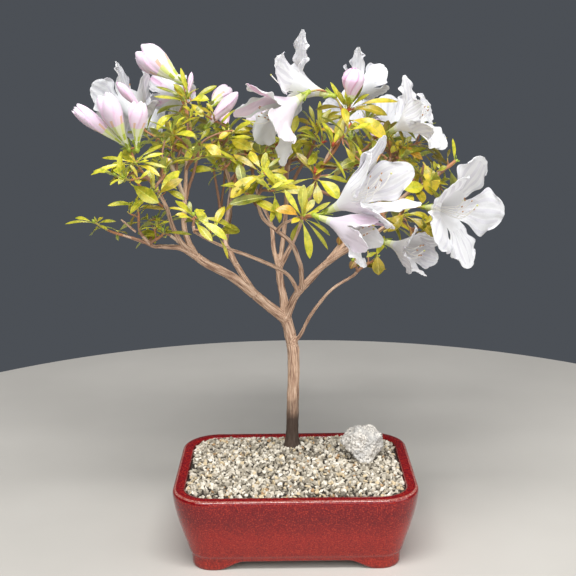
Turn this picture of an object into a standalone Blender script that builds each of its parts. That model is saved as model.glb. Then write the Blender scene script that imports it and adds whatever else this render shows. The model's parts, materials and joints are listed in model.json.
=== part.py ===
"""An azalea bonsai in bloom, growing in a glazed rectangular pot.

The tables and the geometry helpers work in millimetres, and the meshes are made in metres.
X runs to the right, Y to the back and Z up from the underside of the pot's feet.
"""
import math
import random
from collections import namedtuple

import bmesh
import bpy
from mathutils import Matrix, Vector
from mathutils.bvhtree import BVHTree
from mathutils.geometry import delaunay_2d_cdt

MM = 0.001
GAP = 0.3

# The pot
POT_LENGTH = 200.0
POT_WIDTH = 150.0
POT_HEIGHT = 66.0
POT_CORNER = 32.0
RIM_BREADTH = 10.0
FOOT_INSET = 14.5
FOOT_RING = 10.0
FOOT_HEIGHT = 9.0
APRON_HEIGHT = 7.5
FOOT_BRACKET = 20.0
FOOT_CURVE = 24.0
FLOOR_THICKNESS = 6.0
CORNER_STEPS = 4

# The growing surface: low lumps of grit, level round the trunk's mound and under the stone
GRAVEL_EDGE = 62.6
GRAVEL_SHOULDER = 64.4
SHOULDER_BREADTH = 4.0
GRAVEL_TOP = 65.6
LUMP_SPACING = 14.0
LUMP_RISE = 0.9
LUMP_SHIFT = 2.0
LUMP_SEED = 5
LUMP_ROOM = 5.0
MOUND_HEIGHT = 2.2
MOUND_FOOT = 20.0
MOUND_TOP = 12.0
RING_POINTS = 12

# The stone, on a level round of grit. Each facet has the azimuth and elevation of its outward
# direction, and its distance from the stone's middle
STONE_PLACE = (57.5, 16.0)
STONE_MIDDLE = 14.0
STONE_ROOM = 21.0
STONE_FACETS = ((180, 46, 13.6), (-165, -42, 13.2), (0, 6, 18.5), (14, 46, 17.5), (-90, 12, 13.5),
                (-48, -4, 17.0), (-128, 14, 14.5), (90, 18, 13.5), (45, 12, 17.0), (138, 6, 15.0),
                (-76, 54, 14.2), (105, 55, 14.0), (-30, 82, 13.6), (-12, -34, 17.5))

# The trunk
TRUNK_PLACE = (-2.0, 36.5)
TRUNK_THICKNESS = 10.5
TRUNK_TOP_THICKNESS = 10.0
FLARE = 2.6
FLARE_HEIGHT = 14.0
LIMB_SPACING = 18.0

# Leaves, twigs and blossom
LEAF_SHORT = 17.0
LEAF_LONG = 36.0
LEAF_BREADTH = 0.42
LEAF_THICKNESS = 0.8
LEAF_DROOP = 0.12
LEAF_FOLD = 0.14
LEAF_WIDEST = 0.52
LEAF_ROOM = 0.6
TWIG_THICKNESS = 2.8
TWIG_TIP_THICKNESS = 1.7
TWIG_SWEEP = 0.35
TWIG_SPACING = 18.0
TWIG_ROOM = 0.7
TWIG_TRIES = 6
STEM_LEAD = 3.0
STEM_SPACING = 8.0
STEM_FOOT = 0.94
SHOOT_DISTANCE = 24.0
SHOOT_WAY = (0.5, 0.6, 0.35)
SEED_REACH = 0.7
SEED_LOWEST = -0.2
SEED_TRIES = 400
WHORL_STEP = 1.0
WHORL_TURN = math.radians(137.5)
WHORL_LEAN = (38.0, 104.0)
WHORL_FIRST = 0.3
CROWN_AXIS = Vector((0.0, 60.0, 0.0))
LOBES = 5
FUNNEL_LENGTH = 30.0
FUNNEL_BASE = 1.8
FUNNEL_WAIST = 0.32
PETAL_THICKNESS = 1.2
PETAL_BREADTH = 0.42
PETAL_TIP = 0.5
PETAL_WIDEST = 0.55
PETAL_CURL = (math.radians(-6.0), math.radians(9.0))
UP = Vector((0.0, 0.0, 1.0))

Limb = namedtuple("Limb", "name parent share thick thin route")
Bloom = namedtuple("Bloom", "base azimuth elevation turn spreads length mouth")
Bud = namedtuple("Bud", "base azimuth elevation length breadth")
Mass = namedtuple("Mass", "name bough stem tips extra leaves centre reach blooms buds")
Shape = namedtuple("Shape", "points faces")

TRUNK_ROUTE = ((-1, 36, 111), (0, 36, 152), (-3, 36, 173), (-7, 34, 189))

# Each bough leaves its parent at a share of the parent's length and runs through its route
BOUGHS = (
    Limb("left_bough", "trunk", 0.97, 9.0, 6.4,
         ((-23, 30, 200), (-39, 24, 216), (-55, 20, 229), (-72, 16, 239), (-83, 14, 248))),
    Limb("right_bough", "trunk", 0.97, 7.0, 4.6,
         ((2, 28, 207), (16, 20, 225), (26, 16, 236), (37, 12, 245), (59, 10, 258))),
    Limb("centre_bough", "trunk", 0.97, 7.6, 5.6, ((-8, 37, 204), (-10, 40, 213), (-12, 46, 231))),
    Limb("left_low_bough", "left_bough", 0.94, 5.0, 3.8, ((-92, 10, 253), (-106, 8, 255))),
    Limb("left_rise_bough", "left_bough", 0.97, 5.4, 4.0, ((-89, 16, 267), (-89, 24, 290))),
    Limb("left_outer_bough", "left_bough", 0.98, 4.6, 3.2,
         ((-91, 8, 258), (-97, 2, 272), (-100, -8, 289), (-105, -14, 302))),
    Limb("inner_left_bough", "left_bough", 0.36, 5.6, 3.4,
         ((-47, 34, 232), (-53, 42, 243), (-58, 48, 252), (-56, 58, 271), (-53, 66, 292))),
    Limb("centre_rise_bough", "centre_bough", 0.96, 4.6, 3.2,
         ((-9, 54, 243), (-6, 64, 265), (-4, 66, 282), (-4, 66, 300))),
    Limb("centre_left_bough", "centre_bough", 0.94, 4.4, 3.0,
         ((-16, 53, 243), (-18, 66, 263), (-26, 74, 279), (-31, 80, 292))),
    Limb("centre_right_bough", "centre_bough", 0.92, 4.6, 3.2, ((0, 46, 250), (8, 48, 268), (18, 48, 295))),
    Limb("right_outer_bough", "right_bough", 0.72, 4.0, 3.0,
         ((46, 26, 254), (62, 36, 266), (83, 40, 281), (101, 42, 294))),
    Limb("right_rise_bough", "right_outer_bough", 0.6, 3.2, 2.6,
         ((76, 50, 288), (82, 60, 302), (85, 66, 316))),
    Limb("front_rise_bough", "right_bough", 0.33, 4.2, 3.0,
         ((7, 12, 233), (5, 5, 243), (-1, -5, 259), (-13, -12, 271), (-23, -15, 281), (-27, -16, 292))),
    Limb("front_shoot", "front_rise_bough", 0.72, 3.0, 2.4, ((-8, -23, 277), (0, -30, 282))),
    Limb("crossing_shoot", "right_bough", 0.28, 3.6, 2.4,
         ((-4, 13, 229), (-21, 3, 241), (-39, -4, 250), (-52, -9, 256), (-68, -16, 265), (-75, -20, 270))),
    Limb("right_shoot", "trunk", 0.78, 3.4, 2.4,
         ((6, 31, 172), (13, 24, 188), (22, 18, 203), (33, 11, 217), (48, 6, 228))),
    Limb("back_left_bough", "inner_left_bough", 0.3, 4.4, 3.0,
         ((-58, 68, 243), (-56, 104, 266), (-56, 124, 288))),
    Limb("back_bough", "centre_bough", 0.86, 4.6, 3.0, ((-9, 74, 241), (-6, 106, 265), (-5, 124, 286))),
    Limb("back_right_bough", "right_bough", 0.62, 4.2, 3.0, ((42, 54, 247), (61, 90, 266), (76, 112, 285))),
)

# The masses of foliage: twigs branch from one stem to the tips (and to some seeded ones), each tip
# has a whorl of leaves, and every leaf stays within the reach from the centre
MASSES = (
    Mass("left_low_leaves", "left_low_bough", ((-115, 6, 256), (-122, 3, 265)),
         ((-162, 14, 275), (-126, 2, 290), (-112, 20, 276), (-104, -4, 270)), 0, 9,
         (-134, 6, 275), (72, 56, 56), (), ()),
    Mass("left_outer_blossom", "left_outer_bough", ((-111, -17, 312),),
         ((-121, -18, 325), (-101, -4, 318), (-128, -36, 317), (-108, -24, 304), (-138, -14, 316)), 0, 8,
         (-122, -18, 330), (66, 50, 66),
         (Bloom((-136, -8, 334), -161, 44, 20, (2, 6, 4, 8, 3), 17, 8),
          Bloom((-127, -14, 337), -136, 66, 0, (4, 2, 6, 3, 5), 17, 9),
          Bloom((-121, -18, 337), -88, 80, 36, (3, 5, 2, 4, 6), 11, 8)), ()),
    Mass("left_top_blossom", "left_rise_bough", ((-88, 30, 306), (-87, 38, 332)),
         ((-88, 44, 372), (-84, 42, 355), (-80, 24, 330), (-108, 44, 338), (-98, 24, 348),
          (-100, 66, 336)), 0, 8,
         (-96, 44, 358), (76, 64, 70),
         (Bloom((-128, 46, 352), 113, 30, 276, (25, 23, 25, 47, 51), 34, 14),
          Bloom((-92, 62, 380), 106, -2, 314, (26, 26, 29, 18, 19), 33, 14),
          Bloom((-88, 46, 385), 166, 36, 10, (4, 8, 3, 6, 8), 17, 11)),
         (Bud((-122, 32, 365), -156, 48, 30, 9), Bud((-86, 56, 375), 56, 74, 20, 5))),
    Mass("inner_left_leaves", "inner_left_bough", ((-56, 68, 308), (-60, 68, 326)),
         ((-66, 76, 347), (-48, 60, 324), (-62, 38, 316), (-54, 54, 344), (-60, 92, 334)), 1, 8,
         (-60, 66, 345), (50, 54, 58),
         (Bloom((-64, 78, 362), 88, 18, 299, (2, 6, 4, 6, 6), 26, 8),),
         (Bud((-71, 48, 349), -10, 46, 40, 12),)),
    Mass("crossing_shoot_leaves", "crossing_shoot", ((-78, -22, 277),),
         ((-77, -24, 285), (-62, -26, 274)), 0, 9,
         (-70, -26, 280), (46, 42, 38), (), ()),
    Mass("centre_left_leaves", "centre_left_bough", ((-34, 83, 306),),
         ((-45, 88, 335), (-26, 84, 326), (-50, 84, 308), (-26, 70, 342), (-12, 92, 330)), 0, 8,
         (-34, 84, 326), (50, 48, 50), (), ()),
    Mass("front_rise_leaves", "front_rise_bough", ((-26, -16, 301),),
         ((-23, -16, 314), (-38, -22, 304), (-12, -26, 306)), 0, 9,
         (-26, -20, 310), (46, 42, 40), (), ()),
    Mass("front_blossom", "front_shoot", ((5, -35, 284),), ((9, -42, 286),), 0, 12,
         (48, -62, 286), (100, 78, 76),
         (Bloom((24, -43, 289), -26, 26, 348, (27, 33, 45, 17, 22), 43, 14),
          Bloom((17, -56, 289), -46, -9, 314, (10, 26, 26, 22, 0), 34, 11)), ()),
    Mass("centre_top_leaves", "centre_rise_bough", ((-2, 65, 315),),
         ((21, 66, 346), (0, 58, 338), (-12, 46, 330), (12, 76, 322), (26, 50, 334)), 0, 8,
         (8, 60, 338), (50, 48, 48), (), ()),
    Mass("crown_top_blossom", "centre_right_bough", ((24, 47, 310), (34, 45, 330)),
         ((19, 26, 312), (48, 46, 361), (47, 30, 346), (60, 30, 322), (54, 58, 314), (70, 44, 338),
          (34, 30, 334)), 0, 8,
         (50, 44, 350), (80, 70, 80),
         (Bloom((34, 42, 376), 163, 17, 2, (78, 50, 82, 92, 76), 31, 14),
          Bloom((10, 10, 373), -131, -17, 331, (52, 10, 68, 36, 37), 31, 14),
          Bloom((47, 62, 368), 60, 12, 311, (36, 10, 0, 35, 45), 34, 14)),
         (Bud((50, 42, 370), -62, 80, 27, 20),)),
    Mass("right_upper_blossom", "right_rise_bough", ((88, 69, 322),),
         ((99, 72, 328), (80, 78, 332), (94, 52, 322), (114, 74, 334), (76, 88, 316)), 0, 8,
         (104, 62, 336), (66, 64, 62),
         (Bloom((83, 62, 336), -62, 14, 46, (46, 52, 27, 2, 13), 35, 14),), ()),
    Mass("right_tip_leaves", "right_outer_bough", ((112, 43, 300), (126, 47, 309)),
         ((117, 36, 304), (139, 50, 317), (132, 60, 300), (104, 48, 304)), 0, 8,
         (120, 46, 302), (46, 44, 42), (), ()),
    Mass("right_low_blossom", "right_bough", ((70, 9, 265), (82, 8, 274)),
         ((90, 8, 281), (88, 28, 272), (106, 2, 266), (74, 16, 284)), 0, 8,
         (118, 2, 268), (88, 70, 68),
         (Bloom((77, 2, 259), -66, -3, 104, (14, 11, 0, 11, 30), 34, 10),
          Bloom((108, 16, 284), -50, 1, 334, (64, 41, 57, 68, 60), 36, 14)), ()),
    Mass("right_shoot_leaves", "right_shoot", ((53, 4, 233),), ((68, 4, 244), (49, 2, 242)), 0, 7,
         (58, 2, 241), (40, 36, 32), (), ()),
    Mass("back_left_blossom", "back_left_bough", ((-60, 132, 304), (-70, 136, 320)),
         ((-74, 138, 332), (-108, 122, 318), (-40, 138, 316)), 3, 7,
         (-82, 130, 322), (80, 52, 54),
         (Bloom((-122, 124, 338), 116, 16, 20, (25, 30, 22, 26, 30), 30, 12),),
         (Bud((-60, 142, 336), 100, 50, 36, 12),)),
    Mass("back_blossom", "back_bough", ((-6, 133, 304), (-3, 138, 320)),
         ((-4, 140, 332), (-22, 128, 318), (20, 134, 316)), 2, 7,
         (0, 136, 318), (52, 48, 48),
         (Bloom((-18, 126, 333), 98, 18, 15, (10, 15, 12, 16, 12), 28, 11),), ()),
    Mass("back_right_blossom", "back_right_bough", ((82, 119, 302), (90, 124, 318)),
         ((88, 126, 332), (112, 112, 312), (60, 130, 316)), 3, 7,
         (88, 122, 316), (60, 50, 54),
         (Bloom((90, 122, 330), 74, 20, 40, (26, 30, 20, 28, 26), 30, 12),
          Bloom((56, 126, 332), 90, 24, 5, (22, 28, 20, 30, 26), 30, 12)),
         (Bud((78, 138, 322), 80, 45, 36, 12),)),
)


def clear_scene():
    """Removes what the file already holds."""
    for thing in list(bpy.data.objects):
        bpy.data.objects.remove(thing)


def principled(name, colour, roughness, metallic=0.0):
    """A plain material of one colour."""
    material = bpy.data.materials.new(name)
    material.use_nodes = True
    shader = material.node_tree.nodes["Principled BSDF"]
    shader.inputs["Base Color"].default_value = (*colour, 1.0)
    shader.inputs["Roughness"].default_value = roughness
    shader.inputs["Metallic"].default_value = metallic
    return material


def new_object(name, shape, material=None, collection=None):
    """One object from a shape in millimetres, with its faces turned outwards."""
    mesh = bpy.data.meshes.new(name)
    mesh.from_pydata([Vector(point) * MM for point in shape.points], [], shape.faces)
    surface = bmesh.new()
    surface.from_mesh(mesh)
    bmesh.ops.recalc_face_normals(surface, faces=surface.faces)
    surface.to_mesh(mesh)
    surface.free()
    if material:
        mesh.materials.append(material)
    thing = bpy.data.objects.new(name, mesh)
    (collection or bpy.context.scene.collection).objects.link(thing)
    return thing


def smooth(thing, angle=40.0):
    """Shades a round piece smooth, apart from its sharp edges."""
    thing.data.shade_smooth()
    thing.data.set_sharp_from_angle(angle=math.radians(angle))


def apply_modifiers(thing):
    """Gives the object the mesh that its modifiers make."""
    bpy.context.view_layer.update()
    evaluated = thing.evaluated_get(bpy.context.evaluated_depsgraph_get())
    mesh = bpy.data.meshes.new_from_object(evaluated)
    thing.modifiers.clear()
    thing.data = mesh


def keep_main_body(thing):
    """Drops loose scraps, so that one connected body is left."""
    surface = bmesh.new()
    surface.from_mesh(thing.data)
    unseen = set(surface.verts)
    bodies = []
    while unseen:
        front = [unseen.pop()]
        body = set(front)
        while front:
            vertex = front.pop()
            for edge in vertex.link_edges:
                other = edge.other_vert(vertex)
                if other in unseen:
                    unseen.remove(other)
                    body.add(other)
                    front.append(other)
        bodies.append(body)
    bodies.sort(key=len)
    for body in bodies[:-1]:
        bmesh.ops.delete(surface, geom=list(body), context="VERTS")
    surface.to_mesh(thing.data)
    surface.free()


def cut(thing, shapes):
    """Takes closed shapes away from an object."""
    for index, shape in enumerate(shapes):
        tool = new_object(f"{thing.name}_cutter_{index}", shape)
        tool.hide_render = True
        tool.display_type = "WIRE"
        boolean = thing.modifiers.new("cut", "BOOLEAN")
        boolean.operation = "DIFFERENCE"
        boolean.solver = "EXACT"
        boolean.object = tool
        apply_modifiers(thing)
        bpy.data.objects.remove(tool)
    keep_main_body(thing)


def fuse(name, shapes, material):
    """One body from many closed shapes, by a single union."""
    body = new_object(name, shapes[0], material)
    pieces = bpy.data.collections.new(f"{name}_pieces")
    bpy.context.scene.collection.children.link(pieces)
    for index, shape in enumerate(shapes[1:]):
        new_object(f"{name}_piece_{index}", shape, None, pieces)
    union = body.modifiers.new("union", "BOOLEAN")
    union.operation = "UNION"
    union.operand_type = "COLLECTION"
    union.collection = pieces
    union.solver = "MANIFOLD"
    apply_modifiers(body)
    for piece in list(pieces.objects):
        bpy.data.objects.remove(piece)
    bpy.data.collections.remove(pieces)
    keep_main_body(body)
    body.data.materials.clear()
    body.data.materials.append(material)
    return body


def loft(loops):
    """A closed solid through loops with equal counts of points, capped at both ends."""
    count = len(loops[0])
    points = [point for loop in loops for point in loop]
    faces = [tuple(range(count))[::-1]]
    for level in range(len(loops) - 1):
        for i in range(count):
            j = (i + 1) % count
            low = level * count
            high = low + count
            faces.append((low + i, low + j, high + j, high + i))
    faces.append(tuple(range(len(points) - count, len(points))))
    return Shape(points, faces)


def rounded_loop(inset, height):
    """The pot's rounded rectangle, drawn in by an inset, at a height."""
    half_x = POT_LENGTH / 2 - inset
    half_y = POT_WIDTH / 2 - inset
    corner = max(POT_CORNER - inset, 6.0)
    loop = []
    for quarter in range(4):
        side_x = 1 if quarter in (0, 3) else -1
        side_y = 1 if quarter in (0, 1) else -1
        for step in range(CORNER_STEPS + 1):
            angle = math.pi / 2 * (quarter + step / CORNER_STEPS)
            loop.append(Vector((side_x * (half_x - corner) + corner * math.cos(angle),
                                side_y * (half_y - corner) + corner * math.sin(angle), height)))
    return loop


def arch_profile(half_length):
    """The outline under the apron between two bracket feet, seen from the side."""
    inner = half_length - FOOT_BRACKET
    start = inner - FOOT_CURVE
    steps = 5
    outline = [(-inner - 0.5, -2.0)]
    for step in range(steps + 1):
        share = step / steps
        outline.append((-inner + FOOT_CURVE * share, APRON_HEIGHT * (0.5 - 0.5 * math.cos(math.pi * share))))
    for step in range(steps + 1):
        share = 1 - step / steps
        outline.append((start + FOOT_CURVE * (1 - share),
                        APRON_HEIGHT * (0.5 - 0.5 * math.cos(math.pi * share))))
    outline.append((inner + 0.5, -2.0))
    return outline


def arch_cutter(half_length, reach, across):
    """The arch's outline drawn right through the foot ring, along X or along Y."""
    ends = []
    for depth in (-reach, reach):
        if across == "Y":
            ends.append([Vector((x, depth, z)) for x, z in arch_profile(half_length)])
        else:
            ends.append([Vector((depth, x, z)) for x, z in arch_profile(half_length)])
    return loft(ends)


def make_pot(material):
    """The glazed pot: tapering walls, flat rim, floor, and bracket feet under an apron."""
    outer = ((FOOT_INSET, 0.0), (FOOT_INSET - 0.8, 10.5), (FOOT_INSET - 2.2, 12.5),
             (9.6, 22.0), (5.4, 35.0), (2.0, 48.0), (0.3, 58.0), (0.0, 63.6), (0.8, 65.4), (2.4, POT_HEIGHT))
    inner = ((RIM_BREADTH - 1.5, POT_HEIGHT), (RIM_BREADTH, 64.6), (RIM_BREADTH + 0.6, 52.0),
             (RIM_BREADTH + 3.0, 36.0), (RIM_BREADTH + 8.0, FOOT_HEIGHT + FLOOR_THICKNESS + 4.0),
             (RIM_BREADTH + 12.0, FOOT_HEIGHT + FLOOR_THICKNESS))
    pot = new_object("pot", loft([rounded_loop(inset, height) for inset, height in outer + inner]), material)
    under = FOOT_INSET + FOOT_RING
    recess = loft([rounded_loop(under, -2.0), rounded_loop(under, FOOT_HEIGHT)])
    cut(pot, [recess, arch_cutter(POT_LENGTH / 2 - FOOT_INSET, POT_WIDTH, "Y"),
              arch_cutter(POT_WIDTH / 2 - FOOT_INSET, POT_LENGTH, "X")])
    smooth(pot)


def bed_loop(inset, height):
    """The pot's rounded rectangle with further points along its straight sides."""
    corners = rounded_loop(inset, height)
    loop = []
    for start, end in zip(corners, corners[1:] + corners[:1]):
        steps = max(1, round((end - start).length / LUMP_SPACING))
        loop += [start.lerp(end, step / steps) for step in range(steps)]
    return loop


def wall_distance(place):
    """How far a place on the bed lies from the pot's nearest wall."""
    inset = RIM_BREADTH + GAP
    corner = POT_CORNER - inset
    over_x = abs(place.x) - (POT_LENGTH / 2 - POT_CORNER)
    over_y = abs(place.y) - (POT_WIDTH / 2 - POT_CORNER)
    outward = math.hypot(max(over_x, 0.0), max(over_y, 0.0))
    return corner - outward - min(max(over_x, over_y), 0.0)


def level_rings():
    """Rings of places that are level: the foot and top of the trunk's mound, and round the stone."""
    mound = Vector((*TRUNK_PLACE, GRAVEL_TOP))
    stone = Vector((*STONE_PLACE, GRAVEL_TOP))
    for centre, radius in ((mound, MOUND_FOOT), (mound + UP * MOUND_HEIGHT, MOUND_TOP), (stone, STONE_ROOM)):
        yield centre, radius, [centre + aim(360 * step / RING_POINTS, 0) * radius
                               for step in range(RING_POINTS)]


def lumps():
    """The tops and hollows of the bed, on a shifted triangular grid clear of walls and rings."""
    rng = random.Random(LUMP_SEED)
    rings = list(level_rings())
    places = [place for _, _, ring in rings for place in ring]
    row_step = LUMP_SPACING * math.sqrt(3) / 2
    across = math.ceil(POT_LENGTH / 2 / LUMP_SPACING)
    deep = math.ceil(POT_WIDTH / 2 / row_step)
    for row in range(-deep, deep + 1):
        for column in range(-across, across + 1):
            place = Vector(((column + row % 2 / 2) * LUMP_SPACING, row * row_step, GRAVEL_TOP))
            place += Vector((rng.uniform(-1, 1) * LUMP_SHIFT, rng.uniform(-1, 1) * LUMP_SHIFT,
                             rng.uniform(-1, 1) * LUMP_RISE))
            if wall_distance(place) < SHOULDER_BREADTH + LUMP_ROOM:
                continue
            if all((place - centre).xy.length > radius + LUMP_ROOM for centre, radius, _ in rings):
                places.append(place)
    return places


def make_gravel(material):
    """The bed of grit: it fills the pot, rises from the walls and has a rough, lumpy top."""
    side = RIM_BREADTH + GAP
    floor = FOOT_HEIGHT + FLOOR_THICKNESS + GAP
    levels = ((RIM_BREADTH + 12.0 + GAP, floor), (RIM_BREADTH + 8.0 + 2 * GAP, floor + 4.0),
              (RIM_BREADTH + 3.0 + 2 * GAP, 36.0), (RIM_BREADTH + 0.6 + GAP, 52.0), (side, GRAVEL_EDGE),
              (side + SHOULDER_BREADTH, GRAVEL_SHOULDER))
    loops = [bed_loop(inset, height) for inset, height in levels]
    body = loft(loops)
    top = loops[-1] + lumps()
    border = list(range(len(loops[-1])))
    flat = [place.xy for place in top]
    _, _, facets, sources, _, _ = delaunay_2d_cdt(flat, [], [border], 1, 1e-4)
    lift = len(body.points) - len(border)
    faces = body.faces[:-1] + [tuple(sources[corner][0] + lift for corner in facet) for facet in facets]
    smooth(new_object("gravel_bed", Shape(body.points + top[len(border):], faces), material), 20)


def make_stone(material):
    """The pale boulder: a block cut by its facets, with a flat seat on the grit."""
    surface = bmesh.new()
    bmesh.ops.create_cube(surface, size=4 * STONE_MIDDLE)
    facets = [(aim(azimuth, elevation), distance) for azimuth, elevation, distance in STONE_FACETS]
    for way, distance in facets + [(-UP, STONE_MIDDLE)]:
        block = surface.verts[:] + surface.edges[:] + surface.faces[:]
        parted = bmesh.ops.bisect_plane(surface, geom=block, plane_co=way * distance, plane_no=way,
                                        clear_outer=True)
        edges = [part for part in parted["geom_cut"] if isinstance(part, bmesh.types.BMEdge)]
        bmesh.ops.contextual_create(surface, geom=edges)
    bmesh.ops.translate(surface, vec=(*STONE_PLACE, GRAVEL_TOP + GAP + STONE_MIDDLE), verts=surface.verts)
    surface.verts.index_update()
    points = [vertex.co.copy() for vertex in surface.verts]
    faces = [tuple(vertex.index for vertex in face.verts) for face in surface.faces]
    surface.free()
    new_object("feature_stone", Shape(points, faces), material)


def smooth_route(points, spacing):
    """Points along one smooth curve through the given ones, about the spacing apart."""
    knots = [Vector(point) for point in points]
    chain = [knots[0] * 2 - knots[1]] + knots + [knots[-1] * 2 - knots[-2]]
    route = [knots[0]]
    for a, b, c, d in zip(chain, chain[1:], chain[2:], chain[3:]):
        steps = max(1, round((c - b).length / spacing))
        for step in range(1, steps + 1):
            t = step / steps
            route.append(0.5 * (2 * b + (c - a) * t + (2 * a - 5 * b + 4 * c - d) * t ** 2
                                + (3 * b - a - 3 * c + d) * t ** 3))
    return route


def directions(route):
    """The unit direction of the route at each of its points."""
    ways = []
    for i in range(len(route)):
        ahead = route[min(i + 1, len(route) - 1)]
        behind = route[max(i - 1, 0)]
        ways.append((ahead - behind).normalized())
    return ways


def tube(route, radii, sides, rounded=False):
    """A tapering tube along a route, with flat ends or with a rounded far end."""
    ways = directions(route)
    route = list(route)
    radii = list(radii)
    if rounded:
        last = radii[-1]
        for forward, narrower in ((0.5, 0.86), (0.85, 0.5)):
            route.append(route[len(ways) - 1] + ways[-1] * last * forward)
            radii.append(last * narrower)
        ways = ways + [ways[-1]] * 2
    normal = ways[0].orthogonal().normalized()
    loops = []
    for centre, way, radius in zip(route, ways, radii):
        normal = (normal - way * normal.dot(way)).normalized()
        side = way.cross(normal)
        ring = []
        for i in range(sides):
            angle = 2 * math.pi * i / sides
            ring.append(centre + (normal * math.cos(angle) + side * math.sin(angle)) * radius)
        loops.append(ring)
    return loft(loops)


def along(route, share):
    """The point at a share of the route's length."""
    lengths = [(b - a).length for a, b in zip(route, route[1:])]
    left = share * sum(lengths)
    for a, b, length in zip(route, route[1:], lengths):
        if left <= length:
            return a.lerp(b, left / length)
        left -= length
    return route[-1].copy()


def taper(route, first, last):
    """A radius at each point of a route, from the thickness at its start to that at its end."""
    steps = len(route) - 1
    return [(first + (last - first) * i / steps) / 2 for i in range(steps + 1)]


def grow_limbs():
    """The route and radii of the trunk and of every bough, by name."""
    base = Vector((*TRUNK_PLACE, GRAVEL_TOP + MOUND_HEIGHT + GAP))
    low = [base + UP * rise for rise in (0.0, 4.0, 9.0, 16.0)]
    route = low[:-1] + smooth_route([low[-1]] + list(TRUNK_ROUTE), LIMB_SPACING)
    radii = taper(route, TRUNK_THICKNESS, TRUNK_TOP_THICKNESS)
    radii = [radius + FLARE * math.exp(-(point.z - base.z) / FLARE_HEIGHT * 2)
             for point, radius in zip(route, radii)]
    limbs = {"trunk": (route, radii)}
    for limb in BOUGHS:
        start = along(limbs[limb.parent][0], limb.share)
        route = smooth_route([start] + list(limb.route), LIMB_SPACING)
        limbs[limb.name] = (route, taper(route, limb.thick, limb.thin))
    return limbs


def sleeve(route, radii, sides):
    """The limb with the clearance that its neighbours keep from it."""
    return tube(route, [radius + GAP for radius in radii], sides, rounded=True)


def limb_sides(name):
    """The trunk is rounder than the boughs."""
    return 12 if name == "trunk" else 7


def make_limbs(limbs, material):
    """The trunk and the boughs, each cut clear of those that were made before it."""
    done = []
    for name, (route, radii) in limbs.items():
        sides = limb_sides(name)
        shape = tube(route, radii, sides, rounded=name == "trunk")
        thing = new_object(name, shape, material)
        limb_tree = tree(shape)
        cut(thing, [other for other in done if tree(other).overlap(limb_tree)])
        smooth(thing, 60)
        done.append(sleeve(route, radii, sides))


def tree(shape):
    """A search tree over a shape's faces."""
    return BVHTree.FromPolygons(shape.points, shape.faces)


def leaf(root, way, upper, length, breadth):
    """A blade of eight faces with a fold along its midrib and a drooping tip."""
    side = way.cross(upper).normalized()
    upper = side.cross(way).normalized()
    half = LEAF_THICKNESS / 2
    middle = root + way * length * LEAF_WIDEST
    points = [root, root + way * length - upper * length * LEAF_DROOP,
              middle + side * breadth / 2 + upper * breadth * LEAF_FOLD,
              middle - side * breadth / 2 + upper * breadth * LEAF_FOLD,
              middle + upper * half, middle - upper * half]
    faces = [(0, 2, 4), (2, 1, 4), (1, 3, 4), (3, 0, 4), (2, 0, 5), (1, 2, 5), (3, 1, 5), (0, 3, 5)]
    return Shape(points, faces)


def whorl(tip, way, count, rng):
    """The leaves round the end of a shoot: upright ones at the tip, spreading ones below."""
    start = rng.uniform(0, 2 * math.pi)
    first = way.orthogonal().normalized()
    second = way.cross(first)
    least, most = WHORL_LEAN
    for index in range(count):
        turn = start + index * WHORL_TURN
        share = index / max(1, count - 1)
        lean = math.radians(least + (most - least) * share + rng.uniform(-8, 8))
        outward = first * math.cos(turn) + second * math.sin(turn)
        blade_way = (way * math.cos(lean) + outward * math.sin(lean)).normalized()
        grown = (WHORL_FIRST + (1 - WHORL_FIRST) * share) * rng.uniform(0.6, 1.0)
        length = LEAF_SHORT + (LEAF_LONG - LEAF_SHORT) * grown
        root = tip - way * WHORL_STEP * (index + 0.6)
        upper = (way - blade_way * way.dot(blade_way)).normalized()
        upper += blade_way.cross(upper) * rng.uniform(-0.5, 0.5)
        yield leaf(root, blade_way, upper, length, length * LEAF_BREADTH * rng.uniform(0.85, 1.15))


def aim(azimuth, elevation):
    """The unit direction with this azimuth and elevation, in degrees."""
    turn = math.radians(azimuth)
    rise = math.radians(elevation)
    return Vector((math.cos(rise) * math.cos(turn), math.cos(rise) * math.sin(turn), math.sin(rise)))


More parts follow.
